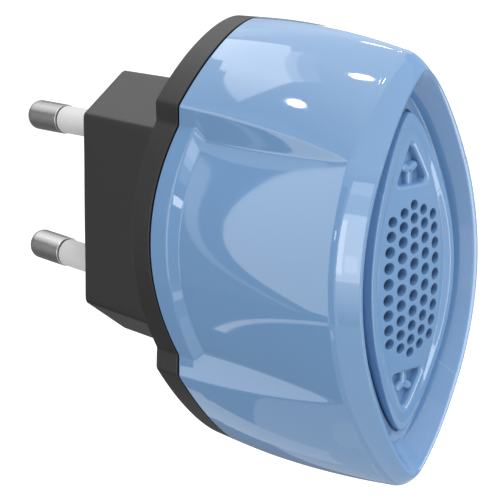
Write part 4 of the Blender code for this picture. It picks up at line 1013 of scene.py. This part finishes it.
def only_mirrors(sheet, tree, glow, top_glow=None, low=0.0, high=1.0):
    """Let a sheet be seen in mirrors alone: it neither lights the object nor shades it. Its glow
    may change evenly from its foot to its top."""
    sheet.visible_camera = sheet.visible_diffuse = sheet.visible_transmission = False
    sheet.visible_shadow = False
    light = tree.nodes.new("ShaderNodeEmission")
    light.inputs["Strength"].default_value = glow
    if top_glow is not None:
        point = tree.nodes.new("ShaderNodeTexCoord").outputs["Object"]
        place = tree.nodes.new("ShaderNodeSeparateXYZ")
        tree.links.new(point, place.inputs["Vector"])
        ramp = tree.nodes.new("ShaderNodeMapRange")
        with_values(
            ramp, {"From Min": low, "From Max": high, "To Min": glow, "To Max": top_glow})
        tree.links.new(place.outputs["Z"], ramp.inputs["Value"])
        tree.links.new(ramp.outputs["Result"], light.inputs["Strength"])
    tree.links.new(light.outputs["Emission"], tree.nodes["Material Output"].inputs["Surface"])


def square(turns, rises):
    """Four corners between two turns and two rises."""
    return (turns[0], rises[0]), (turns[1], rises[0]), (turns[1], rises[1]), (turns[0], rises[1])


def card(
        name, corners, glow, top_glow=None, distance=CARD_DISTANCE, ramp=(0, 90), curls=(0.0, 0.0)):
    """A patch of a ball round the object. Its four corners are pairs of turn and rise in degrees,
    from the lower left one round, and both blend evenly between them. The ramp gives the rises
    between which it brightens, and the curls bend its upright edges by first x rise^3 +
    second x rise^5 degrees."""
    across, upward = np.meshgrid(
        np.linspace(0.0, 1.0, CARD_ACROSS + 1), np.linspace(0.0, 1.0, CARD_UPWARD + 1))
    share = np.stack(((1 - across) * (1 - upward), across * (1 - upward), across * upward,
                      (1 - across) * upward), -1)
    turn, rise = np.moveaxis(share @ np.array(corners, dtype=float), -1, 0)
    turn = np.radians(turn + curls[0] * rise**3 + curls[1] * rise**5)
    rise = np.radians(rise)
    points = (AIM + distance * direction_at(turn, rise)).reshape(-1, 3)
    quads = ring_quads(*across.shape, close_ring=False)
    sheet, tree = stage_piece(name, grid_mesh(name, points, quads))
    only_mirrors(sheet, tree, glow, top_glow, *(distance * np.sin(np.radians(ramp))))


def flip(corners):
    """The same corners on the object's other side."""
    return [(-turn, rise) for turn, rise in corners]


print("a card has", CARD_ACROSS * CARD_UPWARD, "faces")

# %% Cards and flags
for name, half, span, glow in (
        ("front", 0.62, (-0.655, 0.06), 0.95), ("middle", 0.62, (0.06, 0.215), 0.58),
        ("back", 0.55, (0.215, 0.665), 0.2)):
    only_mirrors(*flat_sheet(f"table_{name}", (-half, half), span, TABLE_Z), glow)
WALL_CURLS = np.array((-2.2e-4, -1.5e-7))
for name, place, side in (("left", list, 1), ("right", flip, -1)):
    card(f"flag_back_{name}", place(square((-178, -126), (-27, 22))), 0.28, distance=FLAG_DISTANCE)
    card(f"flag_front_{name}", place(square((-112, -97), (-28, 20))), 0.35, distance=FLAG_DISTANCE)
    wall = place(((-133.2, -24.5), (-116, -24.5), (-116, 8), (-133.2, 23.3)))
    card(f"wall_{name}", wall, 1.75, 2.4, ramp=(-25, 20), curls=side * WALL_CURLS)
    ceiling = place(square((-180, -112), (27, 75)))
    card(f"ceiling_{name}", ceiling, 0.8, 2.0, FLAG_DISTANCE, (27, 49))
card("flag_across", square((22, 92), (-32, 8)), 0.28, 0.8, FLAG_DISTANCE, (-30, 4))
card("band", square((-137, -135.7), (-26, 22.5)), 0.7, 1.3, ramp=(-18, 4), curls=WALL_CURLS)
card("ceiling_front", square((-112, -50), (24, 75)), 1.3, distance=FLAG_DISTANCE)
DAYLIGHT = dict(glow=2.5, top_glow=4.2, ramp=(29, 37))
card("window_far", ((-173, 41), (-151, 37.4), (-151, 48.2), (-157.5, 49.8)), **DAYLIGHT)
card("window_middle", ((-151, 37.4), (-144, 34.9), (-144, 45.6), (-151, 48.2)), **DAYLIGHT)
card("window_near", ((-144, 34.9), (-133.6, 28.9), (-133.3, 37.9), (-144, 45.6)), **DAYLIGHT)
card("window_side", ((-151, 48.4), (-133.3, 37.9), (-132.3, 39.3), (-149.5, 49.9)), 3.0)
card("window_fade", ((-149.5, 49.9), (-132.3, 39.3), (-130.6, 41.8), (-147, 52)), 2.2)
card("window_back", square((-190, -173.5), (38, 48)), 2.1)
card("pane", square((-93, -72), (-11.5, 12)), 4.4)
card("pane_bright", square((-93, -87.5), (-9, 10)), 6.5, distance=0.58)
card("pane_spot", square((-86, -79), (-8, -2)), 5.5, distance=0.57)
card("pane_foot", square((-93, -72), (-28, -11.5)), 0.7, 2.6, ramp=(-26, -12))
card("pane_head", square((-92.5, -72), (12, 18.5)), 2.2)
card("pane_line", square((-92.5, -72), (18.5, 22.5)), 3.0)
card("spot_high", square((-103.2, -100.4), (2.6, 5.8)), 6.0)
card("spot_low", square((-110, -104), (-33, -30)), 1.8, distance=0.55)
card("front", square((0, 18), (-32, 10)), 5.0)
floor_line = ((-152.5, -39.9), (-127, -27.2), (-127, -26.4), (-152.5, -39.1))
card("floor_line", floor_line, 1.6, distance=0.49)
card("streak_back", ((-190, -60), (-171, -60), (-166, -47), (-186, -47)), 0.85, distance=0.38)
card("streak_side", ((-160, -62.5), (-140, -60), (-147, -56), (-160, -60.3)), 0.72, distance=0.36)
